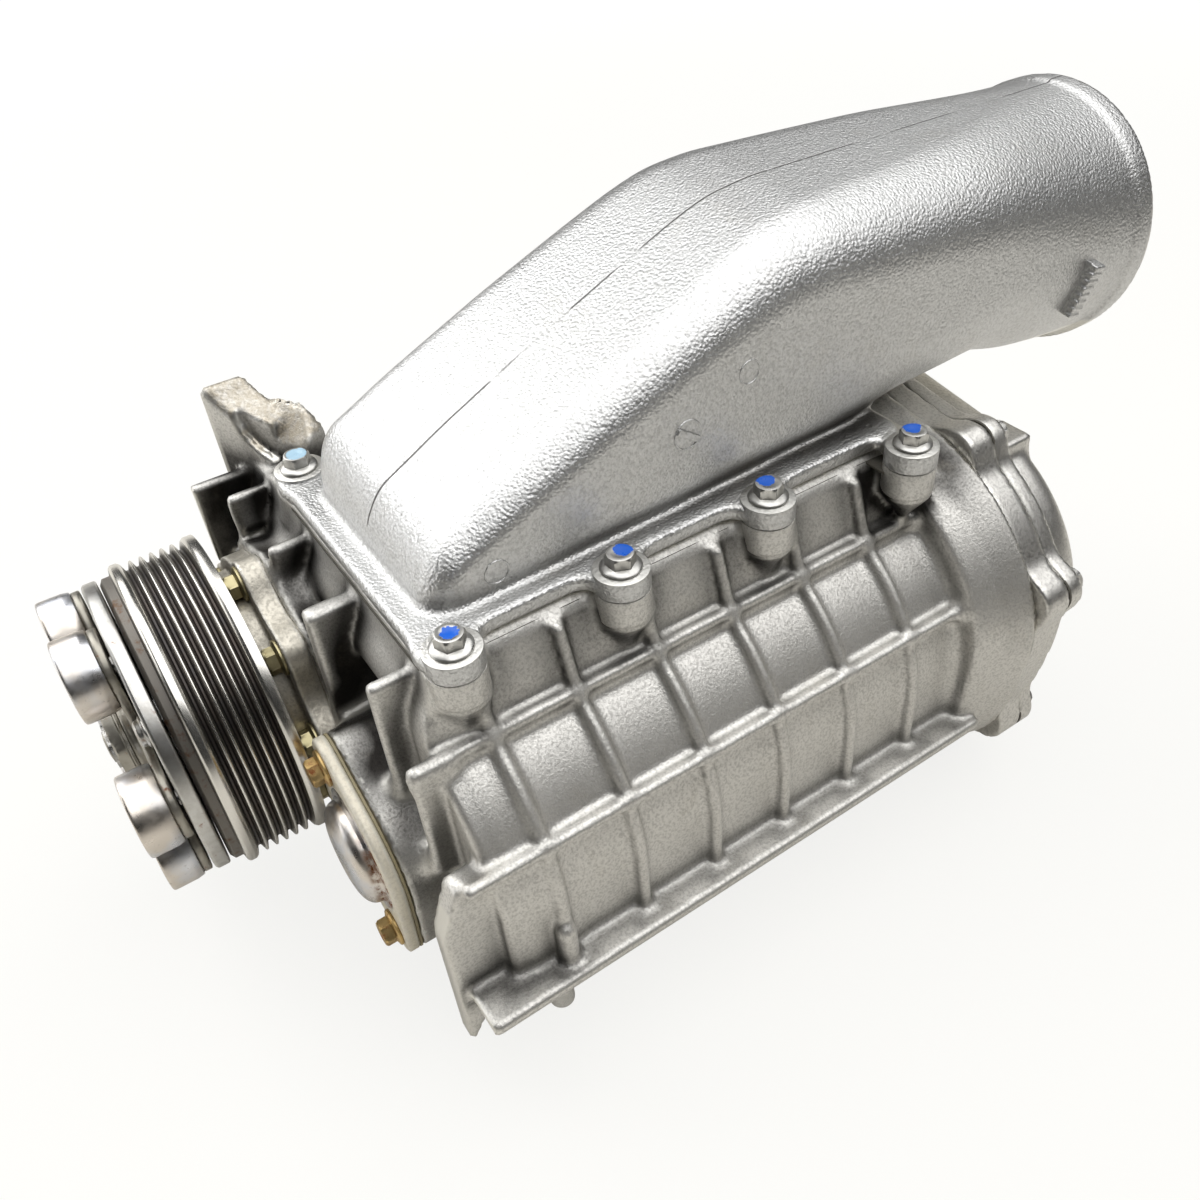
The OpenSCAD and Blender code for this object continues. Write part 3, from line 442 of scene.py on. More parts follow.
def stand(x, y, z, facing, turn=0.0):
    """Matrix that puts a bolt's seat at a place, its head towards -Y, +Y or +Z, turned about its own axis."""
    base = {"-Y": np.eye(3), "+Y": np.diag([-1, -1, 1]), "+Z": [[1, 0, 0], [0, 0, 1], [0, -1, 0]]}[facing]
    c, d = math.cos(math.radians(turn)), math.sin(math.radians(turn))
    m = np.eye(4)
    m[:3, :3] = base @ np.array([[c, 0, d], [0, 1, 0], [-d, 0, c]])
    m[:3, 3] = x, y, z
    return m


def on_skin(field, at, turn=0.0, size=1.0):
    """Matrix that seats a shape, its head towards -Y, on the nearest point of a field's surface."""
    v = np.array([at], float)
    for _ in range(4):
        d, g = slope(field, v)
        v = v - d[:, None] * g
    out = g[0]
    side = np.cross(out, (0, 0, 1.0))
    side = side / np.linalg.norm(side)
    c, s = math.cos(math.radians(turn)), math.sin(math.radians(turn))
    up = np.cross(side, out)
    m = np.eye(4)
    m[:3, :3] = size * np.stack([c * side + s * up, -out, c * up - s * side], 1)
    m[:3, 3] = v[0]
    return m


def joined(*shapes):
    """Several meshes as one."""
    starts = np.cumsum([0] + [len(v) for v, _ in shapes])
    return (np.concatenate([v for v, _ in shapes]),
            np.concatenate([np.where(q < 0, q, q + s) for (_, q), s in zip(shapes, starts)]))


def make_piece(name, shape, material, body, nodes, marks=None, crease=None):
    """Mesh object at the origin from points in millimetres, riding on a body and standing for CAD nodes."""
    v, q = shape
    mesh = bpy.data.meshes.new(name)
    faces = [f[:3] if f[-1] < 0 else f for f in np.asarray(q).tolist()]
    mesh.from_pydata((np.asarray(v) * MM).tolist(), [], faces)
    mesh.polygons.foreach_set("use_smooth", np.ones(len(mesh.polygons), bool))
    for key, values in (marks or {}).items():
        layer = mesh.attributes.new(key, "FLOAT", "POINT")
        layer.data.foreach_set("value", np.asarray(values, np.float32))
    if crease:
        mesh.set_sharp_from_angle(angle=math.radians(crease))
    mesh.materials.append(material)
    mesh.update()
    piece = bpy.data.objects.new(name, mesh)
    bpy.context.scene.collection.objects.link(piece)
    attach(piece, body)
    if nodes:
        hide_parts(*nodes)


def make_casting(name, field, node, step, material, milled=None, raw=None, soil_and_shade=None):
    """Skin of a field over a CAD node's box and a margin beyond it, with its enclosed, exposed, milled and
    raw marks. Soil and painted shade add to what is enclosed, and the enclosed mark is where painted shade
    goes."""
    low, high = box_mm(node)
    v, q, normal = skin(field, low - GRID_MARGIN, high + GRID_MARGIN, step)
    enclosed, exposed = depth_marks(field, v, normal)
    if soil_and_shade:
        enclosed = np.minimum(enclosed, ENCLOSED_CAP) + soil_and_shade(v)
    marks = {"enclosed": enclosed, "exposed": exposed}
    for key, mask in (("milled", milled), ("raw", raw)):
        marks[key] = mask(v, normal).astype(float) if mask else np.zeros(len(v))
    make_piece(name, (v, q), material, "housing", (node,), marks)


def make_bolts(name, node, places, seat, facing, turns, material):
    """Flange bolts along Y at X and Z places, as long as the CAD node's own, each turned about its axis."""
    end = span(node, 1)[facing == "-Y"]
    stands = [stand(x, seat, z, facing, turn) for (x, z), turn in zip(places, turns)]
    shape = placed(bolt(abs(end - seat)), stands)
    make_piece(name, shape, material, "housing", (node,), None, HEAD_CREASE)


# Materials. Noise widths and relief heights are millimetres. The helpers find the node tree by their sockets.


def add(tree, kind, inputs=None, **settings):
    """Adds a node with its settings, values and links, and returns it."""
    node = tree.nodes.new(kind)
    for key, value in settings.items():
        setattr(node, key, value)
    for key, value in (inputs or {}).items():
        if isinstance(value, bpy.types.NodeSocket):
            tree.links.new(value, node.inputs[key])
        else:
            node.inputs[key].default_value = value
    return node


def new_material(name, **fixed):
    """Material with a Principled shader whose uniform values are set on its own sockets. Returns it, the
    shader and the Object coordinates."""
    material = bpy.data.materials.new(name)
    material.use_nodes = True
    shader = material.node_tree.nodes["Principled BSDF"]
    for key, value in fixed.items():
        shader.inputs[key].default_value = value
    return material, shader, add(material.node_tree, "ShaderNodeTexCoord").outputs["Object"]


def wire(shader, **sockets):
    """Links sockets to a shader's inputs of the same name, where _ stands for a space."""
    for key, socket in sockets.items():
        shader.id_data.links.new(socket, shader.inputs[key.replace("_", " ")])


def mark(place, name):
    """Value that a mesh carries at each of its points."""
    return add(place.id_data, "ShaderNodeAttribute", attribute_name=name).outputs["Fac"]


def ramp(factor, low, high, start=0.0, end=1.0):
    """Smooth step of a factor between two values."""
    values = {"Value": factor, "From Min": low, "From Max": high, "To Min": start, "To Max": end}
    node = add(factor.id_data, "ShaderNodeMapRange", values, interpolation_type="SMOOTHSTEP")
    return node.outputs["Result"]


def blend(factor, a, b):
    """Colour that goes from a to b."""
    node = add(factor.id_data, "ShaderNodeMix", {"Factor": factor, "A": a, "B": b}, data_type="RGBA")
    return node.outputs["Result"]


def noise(place, width, detail=2.0, rough=0.5):
    """Noise whose cells are about width millimetres wide."""
    values = {"Vector": place, "Scale": 1 / (width * MM), "Detail": detail, "Roughness": rough}
    return add(place.id_data, "ShaderNodeTexNoise", values).outputs["Fac"]


def reckon(operation, a, b=0.0):
    """Result of an operation on two values, at least one of them a socket."""
    tree = (a if isinstance(a, bpy.types.NodeSocket) else b).id_data
    return add(tree, "ShaderNodeMath", {0: a, 1: b}, operation=operation).outputs[0]


def times(a, b):
    """Product of two values."""
    return reckon("MULTIPLY", a, b)


def relief_normal(height, strength, deep):
    """Normal of a surface that a height raises by up to deep millimetres."""
    values = {"Height": height, "Strength": strength, "Distance": deep * MM}
    return add(height.id_data, "ShaderNodeBump", values).outputs["Normal"]


def cast_aluminium(name, open_colour, shade_and_speck_colour, grain, height, rough, rub_and_highlight_strength=0.5, pebbled=False, seam=None,
                   metal=1.0):
    """Cast aluminium alloy, blasted after casting: a grainy grey metal with painted shade in corners and
    pockets, brighter on edges where it is both rubbed and given a painted highlight, smooth where it was
    milled, brown and torn where it is raw, with a broken dark line where the mould halves met, if it has a
    seam. A chalky oxide skin makes it less metal."""
    milled_tone = colours().milled
    material, shader, place = new_material(name, Metallic=metal)
    enclosed, exposed, milled, raw = (mark(place, key) for key in ("enclosed", "exposed", "milled", "raw"))
    fine = noise(place, grain, 3, 0.65)
    # Painted shade: the dark colour where the surface is enclosed, in corners and pockets, broken up by broad
    # noise.
    painted_shade = times(ramp(enclosed, 0.3, 0.95), ramp(noise(place, 38, 4, 0.6), 0.1, 0.8, 0.75, 1.1))
    speck = times(ramp(fine, 0.42, 0.66), 0.22)
    stain = ramp(noise(place, 24, 5, 0.7), 0.52, 0.8, 0, 0.16)
    # Exposed edges get the milled colour, partly as wear and partly as a painted highlight.
    rub_and_highlight = times(ramp(exposed, 0.15, 0.6), rub_and_highlight_strength)
    torn = times(raw, ramp(noise(place, 3.2, 5, 0.7), 0.3, 0.62, 0.25, 0.7))
    colour = open_colour
    for share, tone in ((painted_shade, shade_and_speck_colour), (speck, shade_and_speck_colour), (stain, linear("#a89f8c")), (rub_and_highlight, milled_tone),
                        (milled, milled_tone), (torn, linear("#a89d88"))):
        colour = blend(share, colour, tone)
    relief = fine
    if pebbled:
        values = {"Vector": place, "Scale": 1 / (grain * MM), "Smoothness": 0.6}
        cells = add(place.id_data, "ShaderNodeTexVoronoi", values, feature="SMOOTH_F1").outputs["Distance"]
        relief = reckon("SUBTRACT", fine, cells)
    if seam is not None:
        part = add(place.id_data, "ShaderNodeSeparateXYZ", {0: place}).outputs
        aside = reckon("ABSOLUTE", reckon("SUBTRACT", part["X"], seam * MM))
        over_flange = ramp(part["Z"], (BOSS_Z + 6) * MM, (BOSS_Z + 8) * MM)
        line = times(ramp(aside, 0.15 * MM, 0.5 * MM, 1, 0), over_flange)
        line = times(line, ramp(noise(place, 26, 3, 0.6), 0.4, 0.5, 0.15, 0.85))
        colour = blend(line, colour, linear("#45423f"))
        relief = reckon("SUBTRACT", relief, line)
    relief = reckon("ADD", relief, times(torn, 0.6))
    roughness = blend(milled, ramp(fine, 0.3, 0.7, rough - 0.08, rough + 0.08), MILLED_ROUGHNESS)
    wire(shader, Base_Color=colour, Roughness=roughness,
         Normal=relief_normal(relief, reckon("SUBTRACT", 1.0, milled), height))
    return material


def plated_steel(name, colour, second, rough, rust=0.0):
    """Zinc-plated steel: a bright metal with soft cloudy variation, and rust where the plating has gone."""
    material, shader, place = new_material(name, Metallic=1.0)
    cloud = noise(place, 5, 5, 0.65)
    shade = blend(ramp(cloud, 0.35, 0.75, 0, 0.35), colour, second)
    if rust:
        spots = ramp(noise(place, 3.5, 6, 0.7), 0.62 - 0.3 * rust, 0.8 - 0.25 * rust)
        shade = blend(spots, shade, colours().rust)
        wire(shader, Roughness=ramp(spots, 0, 1, rough, 0.8), Metallic=ramp(spots, 0, 1, 1.0, 0.25))
    else:
        wire(shader, Roughness=ramp(cloud, 0.3, 0.7, rough - 0.06, rough + 0.08))
    wire(shader, Base_Color=shade, Normal=relief_normal(noise(place, 0.8, 3), 0.25, 0.12))
    return material


def moulded(name, colour, rough):
    """Rubber or moulded plastic: a dark dull surface with a fine grain and a little dust."""
    material, shader, place = new_material(name, Metallic=0.0)
    dust = ramp(noise(place, 9, 5, 0.65), 0.45, 0.8, 0, 0.35)
    fine = noise(place, 0.9, 3)
    wire(shader, Base_Color=blend(dust, colour, linear("#6b6862")),
         Roughness=ramp(fine, 0.3, 0.7, rough - 0.08, rough + 0.08), Normal=relief_normal(fine, 0.4, 0.1))
    return material


def painted_steel(name):
    """Zinc-plated steel with a dab of blue check paint: bright metal and a glossy spot with ragged edges."""
    c = colours()
    material, shader, place = new_material(name)
    cloud = noise(place, 4, 5, 0.65)
    rag = ramp(noise(place, 1.6, 4, 0.6), 0.3, 0.7, -0.25, 0.25)
    shade = blend(ramp(cloud, 0.35, 0.75, 0, 0.4), c.steel, linear("#8f8d88"))
    masks = []
    for key, colour in (("paint", c.paint), ("pale", c.pale_paint)):
        masks.append(ramp(reckon("ADD", mark(place, key), rag), 0.42, 0.58))
        shade = blend(masks[-1], shade, colour)
    wire(shader, Base_Color=shade, Metallic=ramp(reckon("MAXIMUM", *masks), 0, 1, 1, 0),
         Roughness=ramp(cloud, 0.3, 0.7, 0.26, 0.4))
    return material


def polished_steel(name, stained=False):
    """Drawn or pressed steel with a polish: clear mirroring, faint heat tints and, if asked, a rust stain."""
    material, shader, place = new_material(name, Metallic=1.0)
    shade = blend(ramp(noise(place, 14, 3, 0.5), 0.35, 0.65), colours().polished, linear("#d6cec4"))
    shade = blend(ramp(noise(place, 2.2, 5, 0.7), 0.58, 0.75, 0, 0.5), shade, linear("#6f6a66"))
    rough = ramp(noise(place, 6, 5, 0.6), 0.3, 0.75, 0.26, 0.44)
    if stained:
        spots = times(mark(place, "stain"), ramp(noise(place, 4, 5, 0.65), 0.4, 0.6))
        shade = blend(spots, shade, linear("#7c4a22"))
        rough = reckon("ADD", rough, times(spots, 0.4))
    wire(shader, Base_Color=shade, Roughness=rough)
    return material


def worn_pulley(name):
    """Turned steel that a belt runs on: blackened groove flanks, a painted highlight on the crests, a rusty
    front rim.
    """
    material, shader, place = new_material(name, Metallic=1.0)
    crest, rim = mark(place, "crest"), mark(place, "rim")
    shade = blend(ramp(noise(place, 9, 5, 0.65), 0.35, 0.7), colours().groove, linear("#544d48"))
    # Painted highlight: a light colour on the crests of the grooves.
    shade = blend(crest, shade, linear("#dcd9d2"))
    rusty = blend(ramp(noise(place, 5, 5, 0.7), 0.52, 0.7), linear("#7c7872"), linear("#6b5646"))
    rough = reckon("ADD", ramp(crest, 0, 1, 0.42, 0.24), times(rim, 0.15))
    wire(shader, Base_Color=blend(rim, shade, rusty), Roughness=rough)
    return material


# Shapes of the castings


def deck_corners():
    """Outline of the deck that carries the duct, clockwise in the X and Z plane."""
    return [(-57.0, DECK_TOP), (57.0, DECK_TOP), (65.0, DECK_Z - 20), tuple(DRIVEN), tuple(DRIVE),
            (-90.0, DECK_Z - 20), (-82.0, DECK_Z - 2)]


def cover_pad(x, z):
    """Outline of the front bearing cover: hulls of the round centre and each bolt boss."""
    return lowest(two_rounds(x, z, DRIVEN, COVER_R, end, COVER_EAR_R) for end in cover_bolts())


def cover_bolts():
    """Places of the two bolts of the front bearing cover."""
    return ring_places(DRIVEN, COVER_BOLT_R, (COVER_ANGLE, COVER_ANGLE + 180))


def nose_plan(x, z):
    """Outline of the nose: a round plate with an ear at each bolt and one for the connector."""
    ears = ring_places(DRIVE, NOSE_BOLT_R, NOSE_ANGLES + (CONNECTOR_ANGLE,))
    return fillet(off(x, z, DRIVE) - NOSE_PLATE_R, lowest(off(x, z, e) - NOSE_EAR_R for e in ears), 9.0)


def wall_form(x, z):
    """Section of the housing without ribs: two barrels, the deck over them and upright skirts beside them."""
    spine = segment(x, z, DRIVE, DRIVEN) - BARREL_R
    skirts = np.minimum(np.maximum(slab(x, 40, WALL_X), slab(z, BASE_Z, DRIVEN[1])),
                        np.maximum(slab(x, -WALL_X, -40), slab(z, BASE_Z, DRIVE[1])))
    return fillet(np.minimum(spine, skirts), outline(x, z, deck_corners(), 6.0), 8.0)


# Front fins: X place, drop below the deck, thickness, reach ahead of the wall
FINS = ((-82, 32, 4.4, 18), (-67, 36, 4.4, 9), (-29, 42, 4.6, 8), (9, 60, 7, 10.5), (49, 42, 4.4, 8))
POCKETS = ((-79.5, -69.5), (-64.5, -31.5), (-26.5, 5.2), (12.8, 46.5))


def fin_field(p):
    """Front fins with full round edges, and the corner fin whose point reaches under the base ledge."""
    x, y, z = p
    foot = WALL_Y + 4
    boxes = [((at - t / 2, WALL_Y - reach, DECK_Z - 3 - drop), (at + t / 2, WALL_Y + 8, DECK_Z - 2.2))
             for at, drop, t, reach in FINS]
    sx, sz = around(DRIVEN, BARREL_R + 4, RIB_ANGLES[0])
    boxes.append(((sx - 2.2, FIN_Y, sz - 43), (sx + 2.2, WALL_Y + 6, sz)))
    fins = lowest(block(p, low, high, 1.9) for low, high in boxes)
    corner = outline(y, z, [(FACE_Y, 20.0), (FACE_Y, DRIVEN[1] + 5), (FACE_Y + 7, DRIVEN[1] + 24),
                            (foot, DRIVEN[1] + 24), (foot, DRIVEN[1] - 17)], 1.0)
    return np.minimum(fins, trim(corner, np.abs(x - WALL_X + 9) - 4.0, 0.8))


def pocket_field(p):
    """Hollows of the front wall between the fins."""
    return lowest(block(p, (a, FACE_Y - 10, 88), (b, WALL_Y + 9, DECK_Z - 21), 4.0) for a, b in POCKETS)


def lug_place(x, y):
    """Place along and across the side lug, which stands turned by 30 degrees in plan."""
    dx, dy = x - LUG_AT[0], y - LUG_AT[1]
    return dx * LUG_COS + dy * LUG_SIN, dy * LUG_COS - dx * LUG_SIN


def lug_field(p):
    """Side lug: a turned block whose rough top falls away in a hollow curve, a lower step with a tilted top
    behind it, and a machined half-moon scooped out of its front."""
    x, y, z = p
    u, w = lug_place(x, y)
    foot = DRIVE[1] + 20
    tall = trim(block((u, w, z), (-12, 0, foot), (26, 14, DECK_Z + 29), 1.0), LUG_AT[0] - x, 1.0)
    tall = cut(tall, off(x, z, (-70, DECK_Z + 41)) - 24, 2.4)
    top = np.maximum((z - DECK_Z - 11 - (w - 4)) * 0.71, (z - DECK_Z - 21 + (u - 33) * 1.2) * 0.64)
    step = trim(block((u, w, z), (18, 3.5, foot), (40, 14, DECK_Z + 22), 1.0), top, 0.8)
    scoop = np.maximum(off(u, z, (SCOOP_U, SCOOP_Z)) - SCOOP_R, w - 3.6)
    return cut(np.minimum(tall, step), scoop, 0.5)


def rib_field(x, y, z, form):
    """Long ribs that stand off the barrels, and cross ribs at one pitch that follow the wall's form."""
    pitch, half, high = mm("rib_pitch"), mm("rib_t") / 2, mm("rib_h")
    feet = [(DRIVEN, a) for a in RIB_ANGLES] + [(DRIVE, 180 - a) for a in RIB_ANGLES]
    long_ribs = lowest(segment(x, z, around(c, BARREL_R - 4, a), around(c, BARREL_R + high - half, a)) - half
                       for c, a in feet)
    long_ribs = trim(long_ribs, slab(y, FIN_Y, FLANGE_Y), 1.5)
    beat = np.abs((y - FIRST_RIB_Y + pitch / 2) % pitch - pitch / 2) - half
    beat = np.maximum(beat, slab(y, FIRST_RIB_Y - 4, FIRST_RIB_Y + 4 + (CROSS_RIBS - 1) * pitch))
    limits = np.maximum(z - DECK_Z + 1.2, BASE_Z - z)
    return fillet(long_ribs, trim(trim(beat, form - high * 0.72, 2.2), limits, 1.0), 2.0)


def housing_field(p):
    """Rotor housing: barrels, deck and skirts raised by ribs that follow them, with a rear flange, base
    ledges, front fins, pads, bolt bosses, a side lug and the outlet block, all joined by fillets."""
    x, y, z = p
    k = mm("fillet")
    form = wall_form(x, z)
    body = trim(form, slab(y, BODY_Y, FLANGE_Y + 4), 1.5)
    hip = ((z - DECK_Z + 3) * 6.5 - (y - BODY_Y) * 13) / 14.5
    body = fillet(body, trim(trim(form, hip, 2.0), slab(y, WALL_Y, -60), 3.0), 2.5)
    body = fillet(body, rib_field(x, y, z, form), k)
    cone = (rear_outline(x, z, REAR_R + 5.4, False) + (REAR_Y - y) * 0.36) * 0.94
    body = fillet(body, trim(cone, slab(y, FLANGE_Y - 4, REAR_Y), 1.6), 7.0)
    taper = np.maximum(DECK_TOP - z - 11, 0) * 0.7
    boss = slab(z, DECK_Z - 18, DECK_TOP - 0.4)
    body = fillet(body, lowest(trim(off(x, y, b) - BOSS_R + taper, boss, 0.5) for b in DUCT_BOLTS), 5.0)
    inner, ledge_y, ledge_z = WALL_X - 15, FLANGE_Y + 2, BASE_Z + BASE_T
    right = block(p, (inner, BASE_Y0, BASE_Z), (BASE_HALF, ledge_y, ledge_z), 0.7)
    left = block(p, (-BASE_HALF, WALL_Y, BASE_Z), (-inner, ledge_y, ledge_z), 0.7)
    body = fillet(body, np.minimum(right, left), k)
    nub = np.hypot(off(x, y, NUB_AT), np.maximum(np.abs(z - NUB_Z) - 7, 0)) - NUB_R
    body = cut(fillet(body, nub, 2.0), pocket_field(p), 4.0)
    body = fillet(body, fin_field(p), 2.5)
    ring = off(x, z, DRIVE)
    pad = fillet(ring - NOSE_PAD_R, nose_plan(x, z) + np.maximum(y - PAD_Y - 2, 0) * 0.8, 5.0)
    body = fillet(body, trim(pad, slab(y, PAD_Y, FRONT_Y), 0.4), 4.5)
    body = fillet(body, trim(cover_pad(x, z), slab(y, FACE_Y, WALL_Y + 4), 0.7), 9.0)
    body = fillet(trim(body, slab(y, FACE_Y, REAR_Y), 0.5), lug_field(p), k)
    body = fillet(body, block(p, *OUTLET_BLOCK, 2.5), 5.0)
    body = cut(body, block(p, *OUTLET_PORT, 5.0), 1.0)
    chamber = trim(np.minimum(ring, off(x, z, DRIVEN)) - BORE_R,
                   np.maximum(np.maximum(np.abs(y) - CHAMBER_HALF_Y, np.abs(x) - CHAMBER_HALF_X),
                              z - CHAMBER_TOP), 1.0)
    holes = [trim(off(x, y, b) - 4.0, slab(z, -3, 14), 0.8) for b in OUTLET_BOLTS]
    return cut(cut(body, chamber, 0.6), lowest(holes), 0.4)


def housing_milled(v, n):
    """Faces that a cutter has passed over: outlet face, deck, front pads, rear face, corner fin and the lug's
    scoop."""
    x, y, z = v.T
    _, ny, nz = n.T
    u, w = lug_place(x, y)
    faces = ((nz < -0.9) & (z < 0.5), (nz > 0.9) & (np.abs(z - DECK_TOP) < 0.4),
             (ny < -0.85) & (y < FACE_Y + 0.5), (ny > 0.9) & (y > REAR_Y - 0.5),
             (ny < -0.7) & (y < BASE_Y0 + 0.6) & (z < DRIVEN[1] + 30) & (x > 78),
             (np.abs(off(u, z, (SCOOP_U, SCOOP_Z)) - SCOOP_R) < 0.5) & (w > -0.5) & (w < 3.4))
    return np.any(faces, 0)


def housing_raw(v, n):
    """Sawn skin that no blasting has reached: the top of the side lug."""
    u, w = lug_place(v[:, 0], v[:, 1])
    return (u > -1) & (u < 41) & (w > 0) & (w < 15) & (v[:, 2] > DECK_Z + 6) & (n[:, 2] > 0.45)


def housing_soil_and_shade(v):
    """Painted shade mixed with oily dirt: most in the pockets behind the pulley and as a film over the front
    wall, where the pulley shades them; painted shade on the lug; a painted shadow along the wall under the
    duct's flange; painted shade on the rear flange; and a painted shadow in the lower front corner."""
    x, y, z = v.T

    def rise(value, width):
        return np.clip(value / width, 0, 1)
    front = rise(FRONT_Y - 4 - y, 3) * (z > 60) * rise(62 - x, 26)
    deep = rise(y - FIN_Y, 8) * rise(DECK_Z - 14 - z, 9) * (x > -88) * (x < 50)
    under = rise(z - DECK_Z + 26, 12) * (y > FRONT_Y) * (y < FLANGE_Y) * (z < DECK_Z - 1)
    rear = rise(y - FLANGE_Y, 6) * rise(x - 40, 20) * rise(z - 60, 20)
    lug = (z > DECK_Z - 10) * (x < -52) * (y < -50) * (front == 0)
    corner = rise(-64 - y, 8) * (x > 78) * rise(84 - z, 10)
    return front * (0.33 + 0.4 * deep) + 0.3 * under + 0.42 * rear + 0.22 * lug + 0.12 * corner


def smooth_line(points, spread):
    """Table of a side line: straight between its points, then averaged over a bell of that spread."""
    pitch, reach = 0.5, 60
    y = np.arange(-40.0, 340.0, pitch)
    raw = np.interp(y, *zip(*points))
    bell = np.exp(-0.5 * (np.arange(-reach, reach + 1) * pitch / spread) ** 2)
    return y, np.convolve(np.pad(raw, reach, mode="edge"), bell / bell.sum(), mode="valid")


# Side lines of the duct's tube by their distance from its front, over the top of the bosses
DUCT_LINES = {
    "top": smooth_line([(-4, 8), (1, 11), (4, 15), (9, 18.2), (15, 21), (30, 29), (66, 46), (100, 60.6),
                        (116, 67.2), (128, 71.2), (144, 73), (264, 72.3)], 3.5),
    "low": smooth_line([(0, -8), (158, -8), (176, -4), (222, -4), (244, -13), (264, -18), (290, -22.3)], 6.0),
    "half": smooth_line([(0, 42.5), (128, 42.5), (264, 47.2)], 4.0),
    "round": smooth_line([(0, 9), (40, 12), (100, 17), (128, 20), (176, 25), (215, 30), (264, 45),
                          (285, 47.2)], 8.0),
    "lean": smooth_line([(0, 0.1), (128, 0.1), (264, 0)], 8.0),
}
# Round mouth with its rim, wall, rounding of the tube's front, and the flange's half width and ends
MOUTH_Y, MOUTH_Z, RIM_R, RIM_L, DUCT_WALL, DUCT_NOSE_R = 290.0, 25.0, 48.2, 8.0, 4.0, 11.0
PLAN_HALF, PLAN_ENDS = 50.5, (-8, 169)


def tube_field(x, y, z, wall):
    """Duct tube: at each y a rounded rectangle whose top, bottom, half width and corner radius follow the
    lines, with a top that leans to one side."""
    top, low, half, r, lean = (np.interp(y, *line) for line in DUCT_LINES.values())
    top, low, half = top - wall, low + wall, half - wall
    mid, tall = (top + low) / 2, np.maximum((top - low) / 2, 1.0)
    r = np.minimum(np.maximum(r - wall, 3.0), np.minimum(half, tall))
    up = np.clip((z - mid) / tall, 0, 1)
    return rounded_corner(np.abs(x) - half + r, np.abs(z + lean * x * up - mid) - tall + r) - r


def rounded_corner(a, b):
    """Distance to a corner where two sides meet, by the distance past each."""
    return np.hypot(np.maximum(a, 0), np.maximum(b, 0)) + np.minimum(np.maximum(a, b), 0)


def duct_field(p):
    """Inlet duct: a tube that rises from the flange and turns back to a round mouth, hollow inside, on a
    flange whose edge swings in between the bolt ears."""
    x, y, z = p[0] - DUCT_X, p[1] - DUCT_Y0, p[2] - BOSS_Z
    tube = tube_field(x, y, z, 0)
    front = rounded_corner(tube + DUCT_NOSE_R, DUCT_NOSE_R + 0.5 - y) - DUCT_NOSE_R
    tube = trim(np.where(y < 30, front, tube), y - MOUTH_Y, 0.8)
    rim = trim(off(x, z, (0, MOUTH_Z)) - RIM_R, slab(y, MOUTH_Y - RIM_L, MOUTH_Y), 1.2)
    tube = fillet(tube, rim, 1.0)
    rounds = lowest(off(x, y, (b[0] - DUCT_X, b[1] - DUCT_Y0)) - BOSS_R for b in DUCT_BOLTS)
    plan = fillet(trim(np.abs(x) - PLAN_HALF, slab(y, *PLAN_ENDS), 5.0), rounds, 9.0)
    body = fillet(tube, trim(plan, slab(z, 0.2 - EAR_T, -0.9), 1.6), 3.5)
    body = cut(body, trim(tube_field(x, y, z, DUCT_WALL), slab(y, 14, 300), 3.0), 1.0)
    return cut(body, block((x, y, z), (-36, 14, -20), (36, 152, 6), 5.0), 1.0)


def duct_milled(v, n):
    """Faces that a cutter has passed over: the flange's underside and the mouth's rim."""
    return (v[:, 1] > span("inlet_duct", 1)[1] - 0.4) | (v[:, 2] < DECK_TOP + 0.6)


def rear_outline(x, z, r, ears=True):
    """Outline of the rear plates: the hull of two circles with a straight lower right side and a flat foot,
    and with a bolt ear at each screw."""
    d = segment(x, z, DRIVE, DRIVEN) - r
    side = ((x - DRIVEN[0] - r) * 46 + (DRIVEN[1] + 2 - z) * 7) / 46.5 + 1.2
    d = trim(trim(d, side, 6.0), 4.0 - z, 4.0)
    return fillet(d, lowest(off(x, z, e) - 8 for e in rear_ears()), 8.0) if ears else d


def plate_field(p):
    """Rear bearing plate: a flat casting with ears."""
    return trim(rear_outline(p[0], p[2], REAR_R + 3.2), slab(p[1], PLATE_Y - 0.7, PLATE_END_Y), 0.8)


def cover_field(p):
    """Rear gear cover: a flange with ears under a smooth domed box, and a cast tab on its shoulder."""
    x, y, z = p
    flange = trim(rear_outline(x, z, REAR_R + 2.6), slab(y, COVER_Y - 0.7, REAR_SEAT_Y), 0.9)
    box = trim(rear_outline(x, z, REAR_R - 4.5, False), slab(y, COVER_Y, COVER_END_Y), 10.0)
    tab = block(p, (54, COVER_Y + 8, 118), (68, COVER_END_Y - 1, 132), 1.6)
    hollow = trim(rear_outline(x, z, REAR_R - 13, False), slab(y, COVER_Y - 3, COVER_END_Y - 6), 8.0)
    return cut(fillet(fillet(flange, box, 5.0), tab, 3.0), hollow, 0.8)


def nose_field(p):
    """Nose: a plate with ears, a step for the coil and the tube that carries the pulley bearing."""
    x, y, z = p
    front, back = span("front_nose", 1)
    ring = off(x, z, DRIVE)
    d = trim(nose_plan(x, z), slab(y, NOSE_Y, back), 0.7)
    d = fillet(d, trim(ring - COIL_STEP_R, slab(y, NOSE_Y - 5.7, back), 0.6), 1.0)
    d = fillet(d, trim(ring - NOSE_TUBE_R, slab(y, front, back), 0.6), 2.0)
    return cut(d, ring - NOSE_BORE_R, 0.5)


def front_cover_field(p):
    """Front cover plate: two-eared outline with a hole for the dome and a rounded rim."""
    x, y, z = p
    d = trim(cover_pad(x, z), slab(y, *span("front_bearing_cover", 1)), 1.0)
    return cut(d, off(x, z, DRIVEN) - DOME_HOLE_R - 0.05, 0.6)


